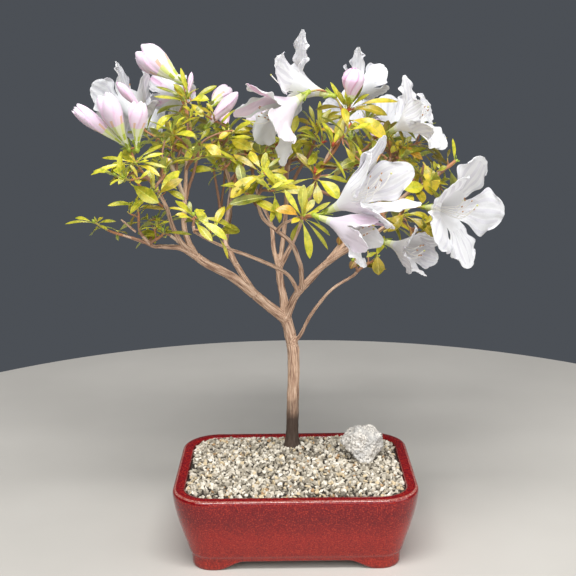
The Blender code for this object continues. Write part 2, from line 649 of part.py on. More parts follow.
def bloom_shape(bloom):
    """An open flower: a tube that widens to five lobes, each with its own spread."""
    base = Vector(bloom.base)
    axis = aim(bloom.azimuth, bloom.elevation)
    side = axis.cross(UP).normalized()
    top = side.cross(axis)

    def ray(turn):
        return top * math.cos(turn) + side * math.sin(turn)

    fifth = 2 * math.pi / LOBES
    turn = math.radians(bloom.turn)
    spreads = [math.radians(spread) for spread in bloom.spreads]
    mouth = base + axis * FUNNEL_LENGTH
    waist = bloom.mouth * FUNNEL_WAIST
    points = []
    for height, radius in ((0.0, FUNNEL_BASE), (FUNNEL_LENGTH / 2, waist)):
        points += [base + axis * height + ray(turn + fifth * k) * radius for k in range(LOBES)]
    points += [mouth + ray(turn + fifth * k) * bloom.mouth for k in range(LOBES)]
    points += [mouth + ray(turn + fifth * (k - 0.5)) * bloom.mouth * 0.96 for k in range(LOBES)]
    for k in range(LOBES):
        out = ray(turn + fifth * k)
        across = ray(turn + fifth * (k + 0.25)) - ray(turn + fifth * (k - 0.25))
        across.normalize()
        low = spreads[k] + PETAL_CURL[0]
        high = spreads[k] + PETAL_CURL[1]
        widest = bloom.length * PETAL_WIDEST
        middle = points[2 * LOBES + k] + (axis * math.cos(low) + out * math.sin(low)) * widest
        closest = min(spreads[k], spreads[k - 1], spreads[(k + 1) % LOBES])
        reach = bloom.mouth + widest * math.sin(closest)
        half = min(PETAL_BREADTH * bloom.length, 0.92 * reach * math.sin(fifth / 2))
        inward = (axis * math.sin(low) - out * math.cos(low)) * PETAL_THICKNESS
        tip = middle + (axis * math.cos(high) + out * math.sin(high)) * (bloom.length - widest)
        points += [middle, middle - across * half, middle + across * half, middle + inward,
                   tip - across * half * PETAL_TIP, tip + across * half * PETAL_TIP]
    points += [mouth + ray(turn + fifth * k) * (bloom.mouth - PETAL_THICKNESS) for k in range(LOBES)]
    points += [base + axis * FUNNEL_LENGTH / 2 + ray(turn + fifth * k) * (waist - PETAL_THICKNESS)
               for k in range(LOBES)]
    lobe = 4 * LOBES
    inner_throat = lobe + 6 * LOBES
    inner_floor = inner_throat + LOBES
    faces = [tuple(range(LOBES))[::-1], tuple(range(inner_floor, inner_floor + LOBES))]
    for k in range(LOBES):
        after = (k + 1) % LOBES
        throat = 2 * LOBES + k
        left = 3 * LOBES + k
        right = 3 * LOBES + after
        middle, edge_left, edge_right, middle_in, tip_left, tip_right = range(lobe + 6 * k, lobe + 6 * k + 6)
        faces += [(k, after, LOBES + after, LOBES + k)]
        faces += [(LOBES + k, LOBES + after, right), (LOBES + k, right, throat), (LOBES + k, throat, left)]
        faces += [(left, throat, middle), (left, middle, edge_left), (throat, right, edge_right),
                  (throat, edge_right, middle), (edge_left, middle, tip_left),
                  (middle, tip_right, tip_left), (middle, edge_right, tip_right)]
        inside = inner_throat + k
        faces += [(left, middle_in, inside), (left, edge_left, middle_in), (inside, edge_right, right),
                  (inside, middle_in, edge_right), (edge_left, tip_left, middle_in),
                  (middle_in, tip_left, tip_right), (middle_in, tip_right, edge_right)]
        faces += [(inner_floor + k, left, inside), (inner_floor + k, inside, right),
                  (inner_floor + k, right, inner_floor + after)]
    return Shape(points, faces)


def bud_shape(bud):
    """A closed flower: a spindle with five wrapped sides."""
    axis = aim(bud.azimuth, bud.elevation)
    side = axis.orthogonal().normalized()
    top = side.cross(axis)
    rings = ((0.0, 0.16), (0.3, 0.62), (0.66, 1.0), (0.88, 0.66), (1.0, 0.12))
    loops = []
    for level, (height, share) in enumerate(rings):
        radius = share * bud.breadth / 2
        centre = Vector(bud.base) + axis * bud.length * height
        turns = [2 * math.pi * (k + 0.2 * level) / LOBES for k in range(LOBES)]
        loops.append([centre + (top * math.cos(a) + side * math.sin(a)) * max(radius, 0.8) for a in turns])
    return loft(loops)


def twig_route(start, start_way, end, end_way):
    """A curve that leaves one direction and arrives along another."""
    span = (end - start).length
    first = start + start_way * span * TWIG_SWEEP
    second = end - end_way * span * TWIG_SWEEP
    steps = max(2, round(span / TWIG_SPACING))
    route = []
    for step in range(steps + 1):
        t = step / steps
        route.append(start * (1 - t) ** 3 + first * 3 * t * (1 - t) ** 2
                     + second * 3 * t ** 2 * (1 - t) + end * t ** 3)
    return route


class MassGrowth:
    """Grows one mass of foliage: its stem, twigs, blossom and leaves, clear of all that is not its own."""

    def __init__(self, mass, limbs):
        self.mass = mass
        self.rng = random.Random(mass.name)
        route, radii = limbs[mass.bough]
        way = directions(route)[-1]
        foot = route[-1] + way * GAP
        self.foot = foot
        self.foot_radius = radii[-1] * STEM_FOOT
        self.shapes = []
        self.trees = []
        self.blade_trees = []
        self.stations = []
        self.flowers = []
        self.leafy = []
        knots = [foot, foot + way * STEM_LEAD] + list(mass.stem)
        stem = smooth_route(knots, STEM_SPACING)
        radii = taper(stem, 2 * self.foot_radius, TWIG_THICKNESS)
        self.add(tube(stem, radii, 5))
        self.remember(stem, radii)

    def add(self, shape):
        """Takes a shape into the mass."""
        self.shapes.append(shape)
        self.trees.append(tree(shape))

    def remember(self, route, radii):
        """Keeps the places that a later twig may branch from."""
        ways = directions(route)
        self.stations += list(zip(route[1:], ways[1:], radii[1:]))

    def inside(self, point):
        """Whether a point lies in the space that belongs to the mass."""
        offset = [(value - middle) / half
                  for value, middle, half in zip(point, self.mass.centre, self.mass.reach)]
        return sum(value * value for value in offset) <= 1.0

    def grow_twig(self, end, end_way, others, thick=TWIG_THICKNESS):
        """Adds one twig from the nearest fitting place, or nothing where none is free."""
        ranked = sorted(self.stations, key=lambda station: self.cost(station, end))
        for start, way, radius in ranked[:TWIG_TRIES]:
            route = twig_route(start, way, end, end_way)
            first = min(thick, 1.9 * radius)
            shape = tube(route, taper(route, first, TWIG_TIP_THICKNESS), 3)
            wider = tube(route[1:], [first / 2 + TWIG_ROOM] * (len(route) - 1), 4)
            if touches(wider, others):
                continue
            self.add(shape)
            self.remember(route, taper(route, first, TWIG_TIP_THICKNESS))
            return True
        return False

    def cost(self, station, end):
        """How far a twig would have to reach, and how sharply it would have to turn."""
        start, way, _ = station
        reach = end - start
        if reach.length < 4.0:
            return 500.0
        return reach.length * (1.6 - 0.9 * way.dot(reach.normalized()))

    def shoot_way(self, tip):
        """A shoot ends pointing away from the stem's foot, upwards and out of the crown."""
        onward, upward, outward = SHOOT_WAY
        out = tip - CROWN_AXIS
        out.z = 0.0
        way = (tip - self.foot).normalized() * onward + UP * upward + out.normalized() * outward
        return way.normalized()

    def shoot_tips(self):
        """The ends of the leafy shoots: those that show first, then seeded ones between them."""
        tips = [Vector(tip) for tip in self.mass.tips]
        tries = 0
        wanted = len(tips) + self.mass.extra
        while len(tips) < wanted and tries < SEED_TRIES:
            tries += 1
            spot = Vector([self.rng.uniform(-SEED_REACH, SEED_REACH) for _ in range(3)])
            if spot.length > SEED_REACH or spot.z < SEED_LOWEST:
                continue
            place = Vector([middle + half * share
                            for middle, half, share in zip(self.mass.centre, self.mass.reach, spot)])
            if all((place - tip).length > SHOOT_DISTANCE for tip in tips):
                tips.append(place)
        return tips


def touches(shape, trees):
    """Whether a shape meets any of the given search trees."""
    own = tree(shape)
    return any(own.overlap(other) for other in trees)


def wider_blade(blade):
    """The blade with the clearance that it keeps from what is not its own."""
    centre = sum(blade.points, Vector()) / len(blade.points)
    points = [point + (point - centre).normalized() * LEAF_ROOM for point in blade.points]
    lift = (blade.points[4] - blade.points[5]).normalized() * LEAF_ROOM
    points[4] = blade.points[4] + lift
    points[5] = blade.points[5] - lift
    return Shape(points, blade.faces)


def outer_blade(blade):
    """The blade without its root, so that leaves may share a node but don't cross."""
    root = blade.points[0].lerp(blade.points[1], 0.3)
    return Shape([root] + blade.points[1:], blade.faces)


def make_masses(limbs, material):
    """Every mass of foliage: blossom is placed first, then twigs, then leaves."""
    limb_trees = {name: tree(sleeve(route, radii, limb_sides(name)))
                  for name, (route, radii) in limbs.items()}
    growths = [MassGrowth(mass, limbs) for mass in MASSES]

    def strangers(growth):
        trees = list(limb_trees.values())
        for other in growths:
            if other is not growth:
                trees += other.trees
        return trees

    for growth in growths:
        flowers = [(bloom, bloom_shape(bloom)) for bloom in growth.mass.blooms]
        flowers += [(bud, bud_shape(bud)) for bud in growth.mass.buds]
        for flower, shape in flowers:
            if touches(shape, strangers(growth)):
                continue
            growth.add(shape)
            growth.blade_trees.append(growth.trees[-1])
            growth.flowers.append(flower)
    for growth in growths:
        others = strangers(growth)
        for tip in growth.shoot_tips():
            way = growth.shoot_way(tip)
            if growth.grow_twig(tip, way, others):
                growth.leafy.append((tip, way))
        for flower in growth.flowers:
            way = aim(flower.azimuth, flower.elevation)
            growth.grow_twig(Vector(flower.base) + way * 3.0, way, others)
    for growth in growths:
        others = strangers(growth)
        for tip, way in growth.leafy:
            for blade in whorl(tip, way, growth.mass.leaves, growth.rng):
                if not growth.inside(blade.points[1]):
                    continue
                if touches(wider_blade(blade), others) or touches(outer_blade(blade), growth.blade_trees):
                    continue
                growth.add(blade)
                growth.blade_trees.append(tree(outer_blade(blade)))
        fuse(growth.mass.name, growth.shapes, material)


def centre_on_ground():
    """Moves every piece so that the whole stands centred over the origin."""
    corners = [thing.matrix_world @ Vector(corner)
               for thing in bpy.context.scene.objects for corner in thing.bound_box]
    middle = [(max(c[axis] for c in corners) + min(c[axis] for c in corners)) / 2 for axis in (0, 1)]
    shift = Matrix.Translation((-middle[0], -middle[1], 0.0))
    for thing in bpy.context.scene.objects:
        thing.data.transform(shift)


def main():
    clear_scene()
    glaze = principled("oxblood_glaze", (0.20, 0.012, 0.010), 0.12)
    grit = principled("gravel", (0.36, 0.32, 0.26), 0.9)
    rock = principled("pale_rock", (0.60, 0.60, 0.58), 0.85)
    bark = principled("bark", (0.42, 0.27, 0.20), 0.8)
    foliage = principled("foliage_and_blossom", (0.48, 0.52, 0.12), 0.5)
    make_pot(glaze)
    make_gravel(grit)
    make_stone(rock)
    limbs = grow_limbs()
    make_limbs(limbs, bark)
    make_masses(limbs, foliage)
    bpy.context.view_layer.update()
    centre_on_ground()


main()
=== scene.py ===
# %% [markdown]
# # An azalea bonsai in bloom, in its glazed pot
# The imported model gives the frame: a pot, a bed of grit, a stone, a trunk with its boughs, and
# masses of foliage as faceted solids. This file dresses that frame. Every piece here is worked out
# in millimetres from the middle of the pot's foot, and put into the frame's metres at the end.

# %% Load the frame
import itertools
import json
import math
import random
from collections import namedtuple

import bmesh
import bpy
import numpy as np
from mathutils import Matrix, Vector, noise
from mathutils.bvhtree import BVHTree
from mathutils.kdtree import KDTree

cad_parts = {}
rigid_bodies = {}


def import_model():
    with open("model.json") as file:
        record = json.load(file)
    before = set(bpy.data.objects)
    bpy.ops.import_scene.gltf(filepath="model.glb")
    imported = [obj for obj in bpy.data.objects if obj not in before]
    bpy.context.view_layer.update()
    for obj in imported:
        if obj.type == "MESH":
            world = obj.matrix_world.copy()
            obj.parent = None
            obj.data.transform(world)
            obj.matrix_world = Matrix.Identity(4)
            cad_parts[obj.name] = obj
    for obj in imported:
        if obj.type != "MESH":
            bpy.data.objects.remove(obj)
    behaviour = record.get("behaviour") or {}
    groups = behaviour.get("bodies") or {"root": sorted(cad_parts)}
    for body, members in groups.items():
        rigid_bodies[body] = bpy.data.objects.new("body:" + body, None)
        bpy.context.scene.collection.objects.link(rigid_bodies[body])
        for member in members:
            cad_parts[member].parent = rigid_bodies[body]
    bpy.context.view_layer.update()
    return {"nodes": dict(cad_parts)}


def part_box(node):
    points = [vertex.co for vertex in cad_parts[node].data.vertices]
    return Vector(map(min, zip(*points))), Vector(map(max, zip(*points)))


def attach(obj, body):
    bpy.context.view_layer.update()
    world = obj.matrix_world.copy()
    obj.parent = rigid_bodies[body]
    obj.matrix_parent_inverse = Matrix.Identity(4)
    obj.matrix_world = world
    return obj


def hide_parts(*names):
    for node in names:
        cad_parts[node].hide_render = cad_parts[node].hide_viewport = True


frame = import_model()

MM = 0.001
UP = Vector((0.0, 0.0, 1.0))
GAP = 0.3

pot_low, pot_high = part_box("pot")
POT_MIDDLE = Vector(((pot_low.x + pot_high.x) / 2, (pot_low.y + pot_high.y) / 2, pot_low.z))
POT_LENGTH = (pot_high.x - pot_low.x) / MM
POT_WIDTH = (pot_high.y - pot_low.y) / MM
POT_HEIGHT = (pot_high.z - pot_low.z) / MM
print(f"pot {POT_LENGTH:.0f} x {POT_WIDTH:.0f} x {POT_HEIGHT:.0f} mm, nodes {len(frame['nodes'])}")

# %% [markdown]
# ## The camera
# The photograph was taken from a little above the crown's foot, looking slightly down, with the pot
# face on. The distance and the lens were worked out from the pot's rim and foot, whose sizes are
# known. The camera's local Z points back at the viewer, so a tilt about X comes first and the small
# roll about Z after it.

# %% The camera at the photograph's viewing angle
CAMERA_PLACE = Vector((-4.1, -799.3, 403.1))
CAMERA_DOWN = 12.855
CAMERA_ROLL = -0.7085
CAMERA_LENS = 62.406

camera = bpy.data.objects.new("photo_camera", bpy.data.cameras.new("photo_camera"))
camera.data.lens = CAMERA_LENS
camera.data.sensor_width = 36.0
camera.data.clip_start = 0.01
camera.data.clip_end = 100.0
camera.matrix_world = (Matrix.Translation(POT_MIDDLE + CAMERA_PLACE * MM)
                       @ Matrix.Rotation(math.radians(90.0 - CAMERA_DOWN), 4, "X")
                       @ Matrix.Rotation(math.radians(CAMERA_ROLL), 4, "Z"))
bpy.context.scene.collection.objects.link(camera)
bpy.context.scene.camera = camera
print("camera at", [round(value, 3) for value in camera.location])

# %% [markdown]
# ## Paints
# Each finish starts from a real material. Colours are picked as sRGB hex values, the way a paint
# chart gives them, and one function turns them into the linear values that a shader mixes. One more
# function adds a node, sets it up and links its inputs, so that a material reads from top to bottom.

# %% Colours and nodes
def linear(code):
    """The linear colour of an sRGB hex value such as "#8A5A33"."""
    values = [int(code[i:i + 2], 16) / 255 for i in (1, 3, 5)]
    return (*[v / 12.92 if v <= 0.04045 else ((v + 0.055) / 1.055) ** 2.4 for v in values], 1.0)


def add(tree, kind, inputs=None, stops=None, **settings):
    """Adds a node with its settings, its colour stops and its inputs, which are values or links."""
    node = tree.nodes.new(kind)
    for name, value in settings.items():
        setattr(node, name, value)
    for name, value in (inputs or {}).items():
        if isinstance(value, bpy.types.NodeSocket):
            tree.links.new(value, node.inputs[name])
        else:
            node.inputs[name].default_value = value
    for index, (place, colour) in enumerate(stops or ()):
        elements = node.color_ramp.elements
        element = elements[index] if index < 2 else elements.new(place)
        element.position = place
        element.color = linear(colour) if isinstance(colour, str) else colour
    return node


def finish(name, **inputs):
    """A new material with one shader, and its node tree."""
    material = bpy.data.materials.new(name)
    material.use_nodes = True
    tree = material.node_tree
    shader = tree.nodes["Principled BSDF"]
    for socket, value in inputs.items():
        shader.inputs[socket.replace("_", " ")].default_value = value
    return material, tree, shader


def scale_of(size):
    """A texture's scale, in marks to the metre, for marks of about this size in millimetres."""
    return 1 / (size * MM)


print("linear mid grey", round(linear("#808080")[0], 3), "scale of 2 mm marks", round(scale_of(2.0)))

# %% [markdown]
# ## Light and floor
# The photograph was lit by broad soft light from above and in front. A large panel high on the left
# models the petals, and two more fill from the front and from the right. A long strip overhead draws
# the white line along the front edge of the pot's rim, helped by a painted highlight in the glaze
# there. The floor is a plain pale disc.

# %% Studio
PANELS = (
    ("key_panel", (-900, -1400, 1450), (1200, 1200), 17.0),
    ("front_panel", (300, -1350, 700), (1300, 1000), 7.5),
    ("right_panel", (1000, -500, 600), (900, 900), 6.0),
    ("strip_panel", (0, -700, 1650), (1400, 300), 31.0),
)
LIT_POINT = Vector((0, 20, 220))
FLOOR_RADIUS = 620.0
FLOOR_GRAIN = 140.0
BACKDROP = linear("#50545A")
BACKDROP_GLOW = 0.9

for name, place, size, power in PANELS:
    panel = bpy.data.objects.new(name, bpy.data.lights.new(name, "AREA"))
    panel.data.shape = "RECTANGLE"
    panel.data.size = size[0] * MM
    panel.data.size_y = size[1] * MM
    panel.data.energy = power
    way = LIT_POINT - Vector(place)
    panel.matrix_world = (Matrix.Translation(POT_MIDDLE + Vector(place) * MM)
                          @ way.to_track_quat("-Z", "Y").to_matrix().to_4x4())
    bpy.context.scene.collection.objects.link(panel)

world = bpy.data.worlds.new("studio")
world.use_nodes = True
world.node_tree.nodes["Background"].inputs["Color"].default_value = BACKDROP
world.node_tree.nodes["Background"].inputs["Strength"].default_value = BACKDROP_GLOW
bpy.context.scene.world = world
bpy.context.scene.view_settings.view_transform = "Standard"

floor_mesh = bmesh.new()
bmesh.ops.create_circle(floor_mesh, cap_ends=True, segments=128, radius=FLOOR_RADIUS * MM)
floor_data = bpy.data.meshes.new("floor")
floor_mesh.to_mesh(floor_data)
floor_mesh.free()
floor = bpy.data.objects.new("floor", floor_data)
floor.location = (POT_MIDDLE.x, POT_MIDDLE.y, 0.0)
bpy.context.scene.collection.objects.link(floor)
floor_paint, tree, shader = finish("painted_board", Roughness=0.55)
place = add(tree, "ShaderNodeTexCoord").outputs["Object"]
grain = add(tree, "ShaderNodeTexNoise", {"Vector": place, "Scale": scale_of(FLOOR_GRAIN), "Detail": 3.0})
tone = add(tree, "ShaderNodeValToRGB", {"Fac": grain.outputs["Fac"]},
           stops=((0.3, "#BEBAB3"), (0.7, "#C4C0B9")))
tree.links.new(tone.outputs["Color"], shader.inputs["Base Color"])
floor_data.materials.append(floor_paint)
print("panels", len(PANELS))

# %% [markdown]
# ## Many small shapes in one mesh
# A plant is made of hundreds of leaves. An object for each would be slow, and copies are lost when
# the model is exported. So each kind of thing is gathered in a heap of arrays and becomes one mesh.
# A face is four corner numbers, and a triangle repeats its last one.

# %% The heap
class Heap:
    """Points, faces and finishes of many shapes, in millimetres from the pot's middle."""

    def __init__(self):
        self.points = []
        self.faces = []
        self.slots = []
        self.size = 0

    def add(self, shape, slot=0):
        """Takes in a shape, with one finish or with one for each face."""
        points, faces = shape
        self.points.append(np.asarray(points, dtype=float))
        self.faces.append(np.asarray(faces) + self.size)
        self.slots.append(np.broadcast_to(slot, len(faces)))
        self.size += len(points)

    def build(self, name, materials, crease=55.0):
        """One object from the whole heap, shaded smooth but for its creases."""
        points = np.concatenate(self.points) * MM + np.array(POT_MIDDLE)
        faces = np.concatenate(self.faces).astype(np.int32)
        corners = np.where(faces[:, 2] == faces[:, 3], 3, 4).astype(np.int32)
        kept = np.ones(faces.shape, dtype=bool)
        kept[:, 3] = corners == 4
        mesh = bpy.data.meshes.new(name)
        mesh.vertices.add(len(points))
        mesh.vertices.foreach_set("co", points.astype(np.float32).ravel())
        mesh.loops.add(int(corners.sum()))
        mesh.loops.foreach_set("vertex_index", faces[kept])
        mesh.polygons.add(len(faces))
        mesh.polygons.foreach_set("loop_start", (np.cumsum(corners) - corners).astype(np.int32))
        mesh.polygons.foreach_set("material_index", np.concatenate(self.slots).astype(np.int32))
        mesh.update(calc_edges=True)
        mesh.validate()
        mesh.shade_smooth()
        mesh.set_sharp_from_angle(angle=math.radians(crease))
        for material in materials:
            mesh.materials.append(material)
        thing = bpy.data.objects.new(name, mesh)
        bpy.context.scene.collection.objects.link(thing)
        print(name, "triangles", int((corners - 2).sum()))
        return thing


def dress(thing, slot, *nodes):
    """Lets a piece move with the plant, and hides what it stands for. Its slot is not used."""
    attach(thing, "root")
    if nodes:
        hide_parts(*nodes)


def grid_faces(rows, columns, around=False):
    """Four-cornered faces over a grid of points, closed round its columns if it goes around."""
    cells = columns if around else columns - 1
    row, column = np.meshgrid(np.arange(rows - 1), np.arange(cells), indexing="ij")
    first = row * columns + column
    second = row * columns + (column + 1) % columns
    return np.stack((first, second, second + columns, first + columns), axis=-1).reshape(-1, 4)


def fan(ring, middle, flip=False):
    """Triangles from a ring of points to the one point in its middle, which close an open end."""
    after = np.roll(ring, -1)
    first, second = (after, ring) if flip else (ring, after)
    hub = np.full(len(ring), middle)
    return np.stack((first, second, hub, hub), 1)


print("a grid of 3 by 4 points has", len(grid_faces(3, 4)), "faces")

# %% [markdown]
# ## The pot
# A bonsai pot like this one is pressed from stoneware clay in a mould, with a flat rolled rim,
# walls that swell outwards to it, and an apron that is cut into a low arch between four bracket
# feet. It could be cut from a block with Booleans. Here the arch is part of the loft instead: the
# lower rings rise between the feet, so every edge stays soft, as it is under a coat of glaze.

# %% The pot's rings
POT_CORNER = 32.0
FOOT_INSET = 14.5
FOOT_RING = 10.0
FOOT_HEIGHT = 9.0
APRON_HEIGHT = 7.5
FOOT_BRACKET = 20.0
FOOT_CURVE = 24.0
FLOOR_THICKNESS = 6.0
CORNER_STEPS = 14
SIDE_STEPS = 44


def rounded_ring(inset):
    """The pot's rounded rectangle, drawn in by an inset: places, and how far each is from a corner."""
    half = np.array((POT_LENGTH / 2 - inset, POT_WIDTH / 2 - inset))
    corner = max(POT_CORNER - inset, 6.0)
    places, apart = [], []
    for quarter in range(4):
        signs = ((1, 1), (-1, 1), (-1, -1), (1, -1))[quarter]
        for step in range(CORNER_STEPS + 1):
            angle = math.pi / 2 * (quarter + step / CORNER_STEPS)
            places.append((signs[0] * (half[0] - corner) + corner * math.cos(angle),
                           signs[1] * (half[1] - corner) + corner * math.sin(angle)))
            apart.append(0.0)
        following = ((-1, 1), (-1, -1), (1, -1), (1, 1))[quarter]
        end = np.array(places[-1])
        goal = np.array((following[0] * (half[0] - corner), end[1])) if quarter in (0, 2) else np.array(
            (end[0], following[1] * (half[1] - corner)))
        axis = 0 if quarter in (0, 2) else 1
        reach = (POT_LENGTH, POT_WIDTH)[axis] / 2 - FOOT_INSET - FOOT_BRACKET
        for step in range(1, SIDE_STEPS):
            place = end + (goal - end) * step / SIDE_STEPS
            places.append(tuple(place))
            apart.append(max(0.0, reach - abs(place[axis])))
    return np.array(places), np.array(apart)


def pot_ring(inset, height, lift=0.0):
    """A ring of the pot's surface. The share that it lifts over the arch is 1 at the apron's edge."""
    places, apart = rounded_ring(inset)
    arch = APRON_HEIGHT * (0.5 - 0.5 * np.cos(math.pi * np.minimum(apart / FOOT_CURVE, 1.0)))
    return np.column_stack((places, height + lift * arch))


POT_WALL = ((14.5, 1.0, 1.0), (14.45, 3.0, 0.72), (14.3, 6.0, 0.4), (14.0, 9.0, 0.12), (13.7, 10.5, 0.0),
            (13.3, 11.6, 0.0), (12.5, 12.3, 0.0), (12.1, 13.4, 0.0), (11.0, 17.0, 0.0), (9.6, 22.0, 0.0),
            (7.4, 28.5, 0.0), (5.4, 35.0, 0.0), (3.5, 41.5, 0.0), (2.0, 48.0, 0.0), (1.0, 53.0, 0.0),
            (0.3, 58.0, 0.0), (0.02, 61.0, 0.0), (0.0, 63.0, 0.0), (0.25, 64.2, 0.0), (0.8, 65.1, 0.0),
            (1.6, 65.7, 0.0), (2.6, 66.0, 0.0), (5.5, 66.0, 0.0), (8.0, 66.0, 0.0), (9.1, 65.7, 0.0),
            (9.8, 65.0, 0.0), (10.1, 64.0, 0.0), (10.2, 61.0, 0.0), (10.6, 52.0, 0.0), (13.0, 36.0, 0.0))
RIM_EDGE_RINGS = (19, 20)
under = FOOT_INSET + FOOT_RING
POT_UNDERSIDE = ((under + 30.0, FOOT_HEIGHT, 0.0), (under + 0.8, FOOT_HEIGHT, 0.0), (under, 8.6, 0.0),
                 (under, 7.9, 0.05), (under, 0.6, 1.0), (under - 0.6, 0.0, 1.0), (15.2, 0.0, 1.0))
pot_rings = [pot_ring(*level) for level in POT_UNDERSIDE + POT_WALL]
pot_count = len(pot_rings[0])
pot_points = np.concatenate(pot_rings)
print("pot rings", len(pot_rings), "of", pot_count, "points")

# %% [markdown]
# The rings are open at both ends: under the pot and inside it. A flat lid closes each, with the
# inside one at the depth of the floor, far below the grit.

# %% The pot's lids
GLAZED, BARE, THIN_GLAZE_AND_HIGHLIGHT = range(3)
BARE_INNER_RINGS = 3
INNER_FLOOR_INSET = 22.0

floor_height = FOOT_HEIGHT + FLOOR_THICKNESS
inner_floor = pot_ring(INNER_FLOOR_INSET, floor_height)
all_points = np.concatenate((pot_points, inner_floor, [(0.0, 0.0, FOOT_HEIGHT), (0.0, 0.0, floor_height)]))
walls = grid_faces(len(pot_rings) + 1, pot_count, around=True)
foot_ring = np.arange(pot_count)
floor_ring = foot_ring + len(pot_points)
lids = np.concatenate((fan(foot_ring, len(all_points) - 2, flip=True), fan(floor_ring, len(all_points) - 1)))
levels = np.repeat(np.arange(len(pot_rings)), pot_count)
bare = (levels < len(POT_UNDERSIDE) - 1) | (levels >= len(pot_rings) - BARE_INNER_RINGS)
coats = np.where(bare, BARE, GLAZED)
# The two rings at the rim's outer edge get the pale thin glaze, whose pale pink is also a painted highlight.
coats[np.isin(levels - len(POT_UNDERSIDE), RIM_EDGE_RINGS)] = THIN_GLAZE_AND_HIGHLIGHT
pot_heap = Heap()
pot_heap.add((all_points, np.concatenate((walls, lids))), np.append(coats, np.full(len(lids), BARE)))
print("pot faces", len(walls), "and in its lids", len(lids))

# %% [markdown]
# ## Oxblood glaze
# Oxblood is a copper-red glaze. It melts to a thick clear glass over the red, so it mirrors lamps
# sharply. It is deep crimson where it lies thick under the rim and breaks to orange lower down, and
# it is curdled all over into fine specks, a millimetre or two across, of dark red and orange. On the
# rim's outer edge the melted glaze draws off, and the pale clay shows through as a thin line. That
# pale line is also a painted highlight, in place of the lamps' glint along the rounded edge.

# %% Glaze and bare clay
CURDLE = 1.15
DRIFT = 22.2
RIPPLE = 4.76
EDGE_MARK = 1.2
GROG = 0.4

glaze, tree, shader = finish("oxblood_glaze_on_stoneware", Roughness=0.09, IOR=1.5)
place = add(tree, "ShaderNodeTexCoord").outputs["Object"]
height = add(tree, "ShaderNodeSeparateXYZ", {0: place})
level = add(tree, "ShaderNodeMapRange", {"Value": height.outputs["Z"], "From Min": 0.0,
                                         "From Max": POT_HEIGHT * MM})
cloud = add(tree, "ShaderNodeTexNoise", {"Vector": place, "Scale": scale_of(DRIFT), "Detail": 3.0})
sway = add(tree, "ShaderNodeMath", {0: cloud.outputs["Fac"], 1: 0.3, 2: level.outputs["Result"]},
           operation="MULTIPLY_ADD")
run = add(tree, "ShaderNodeValToRGB", {"Fac": sway.outputs[0]},
          stops=((0.1, "#7E1A10"), (1.0, "#74040F"), (0.3, "#8C130A"),
                 (0.62, "#961009"), (0.9, "#72030D")))
curdle = add(tree, "ShaderNodeTexNoise", {"Vector": place, "Scale": scale_of(CURDLE),
                                          "Detail": 3.0, "Roughness": 0.6})
light_spots = add(tree, "ShaderNodeMapRange", {"Value": curdle.outputs["Fac"], "From Min": 0.52,
                                               "From Max": 0.66, "To Max": 0.65})
dark_spots = add(tree, "ShaderNodeMapRange", {"Value": curdle.outputs["Fac"], "From Min": 0.48,
                                              "From Max": 0.34, "To Max": 0.65})
lighter = add(tree, "ShaderNodeMix", {"Factor": light_spots.outputs["Result"], 6: run.outputs["Color"],
                                      7: linear("#C0391F")}, data_type="RGBA")
colour = add(tree, "ShaderNodeMix", {"Factor": dark_spots.outputs["Result"], 6: lighter.outputs[2],
                                     7: linear("#4E0208")}, data_type="RGBA")
tree.links.new(colour.outputs[2], shader.inputs["Base Color"])
ripple = add(tree, "ShaderNodeTexNoise", {"Vector": place, "Scale": scale_of(RIPPLE), "Detail": 3.0})
relief = add(tree, "ShaderNodeBump", {"Strength": 0.25, "Distance": 0.35 * MM,
                                      "Height": ripple.outputs["Fac"]})
tree.links.new(relief.outputs["Normal"], shader.inputs["Normal"])

# Thin glaze on the rim's outer edge, partly painted highlight: its pale pink stands in for the lamps' glint
# along the rounded edge.
thin_glaze_and_painted_highlight, tree, shader = finish("oxblood_glaze_drawn_thin_on_the_edge", Roughness=0.12, IOR=1.5)
place = add(tree, "ShaderNodeTexCoord").outputs["Object"]
edge_streaks = add(tree, "ShaderNodeTexNoise", {"Vector": place, "Scale": scale_of(EDGE_MARK), "Detail": 3.0})
thin = add(tree, "ShaderNodeValToRGB", {"Fac": edge_streaks.outputs["Fac"]},
           stops=((0.34, "#7E261F"), (0.7, "#B98C83"), (0.5, "#97544B")))
tree.links.new(thin.outputs["Color"], shader.inputs["Base Color"])

clay, tree, shader = finish("bare_fired_stoneware", Roughness=0.85)
place = add(tree, "ShaderNodeTexCoord").outputs["Object"]
grog = add(tree, "ShaderNodeTexNoise", {"Vector": place, "Scale": scale_of(GROG), "Detail": 3.0})
body = add(tree, "ShaderNodeValToRGB", {"Fac": grog.outputs["Fac"]},
           stops=((0.35, "#6B4A38"), (0.65, "#8C6A52")))
tree.links.new(body.outputs["Color"], shader.inputs["Base Color"])
relief = add(tree, "ShaderNodeBump", {"Strength": 0.5, "Distance": 0.3 * MM, "Height": grog.outputs["Fac"]})
tree.links.new(relief.outputs["Normal"], shader.inputs["Normal"])

pot = pot_heap.build("glazed_pot", (glaze, clay, thin_glaze_and_painted_highlight), crease=50)
dress(pot, "oxblood_glaze", "pot")

# %% [markdown]
# ## The grit
# The pot is topped with crushed rock, sieved to 2 to 5 mm: broken chips with flat faces, in pale
# beige, grey and a little brown, heaped loosely so that the gaps between them are dark. A flat
# sheet with a bump would look printed, so each chip is the hull of a few random points on a
# flattened block, and its edges stay sharp. A few kinds of chip, turned at random, are enough.

# %% Chips of broken rock
CHIP_CORNERS = 11
CHIP_KINDS = 24
CHIP_SHAPE = np.array((1.0, 0.78, 0.58))


def arrays_of(shape):
    """The points and the triangles of a shape, which isn't needed after that."""
    points = np.array([vertex.co for vertex in shape.verts])
    faces = np.array([[v.index for v in face.verts] + [face.verts[2].index] for face in shape.faces])
    shape.free()
    return points, faces


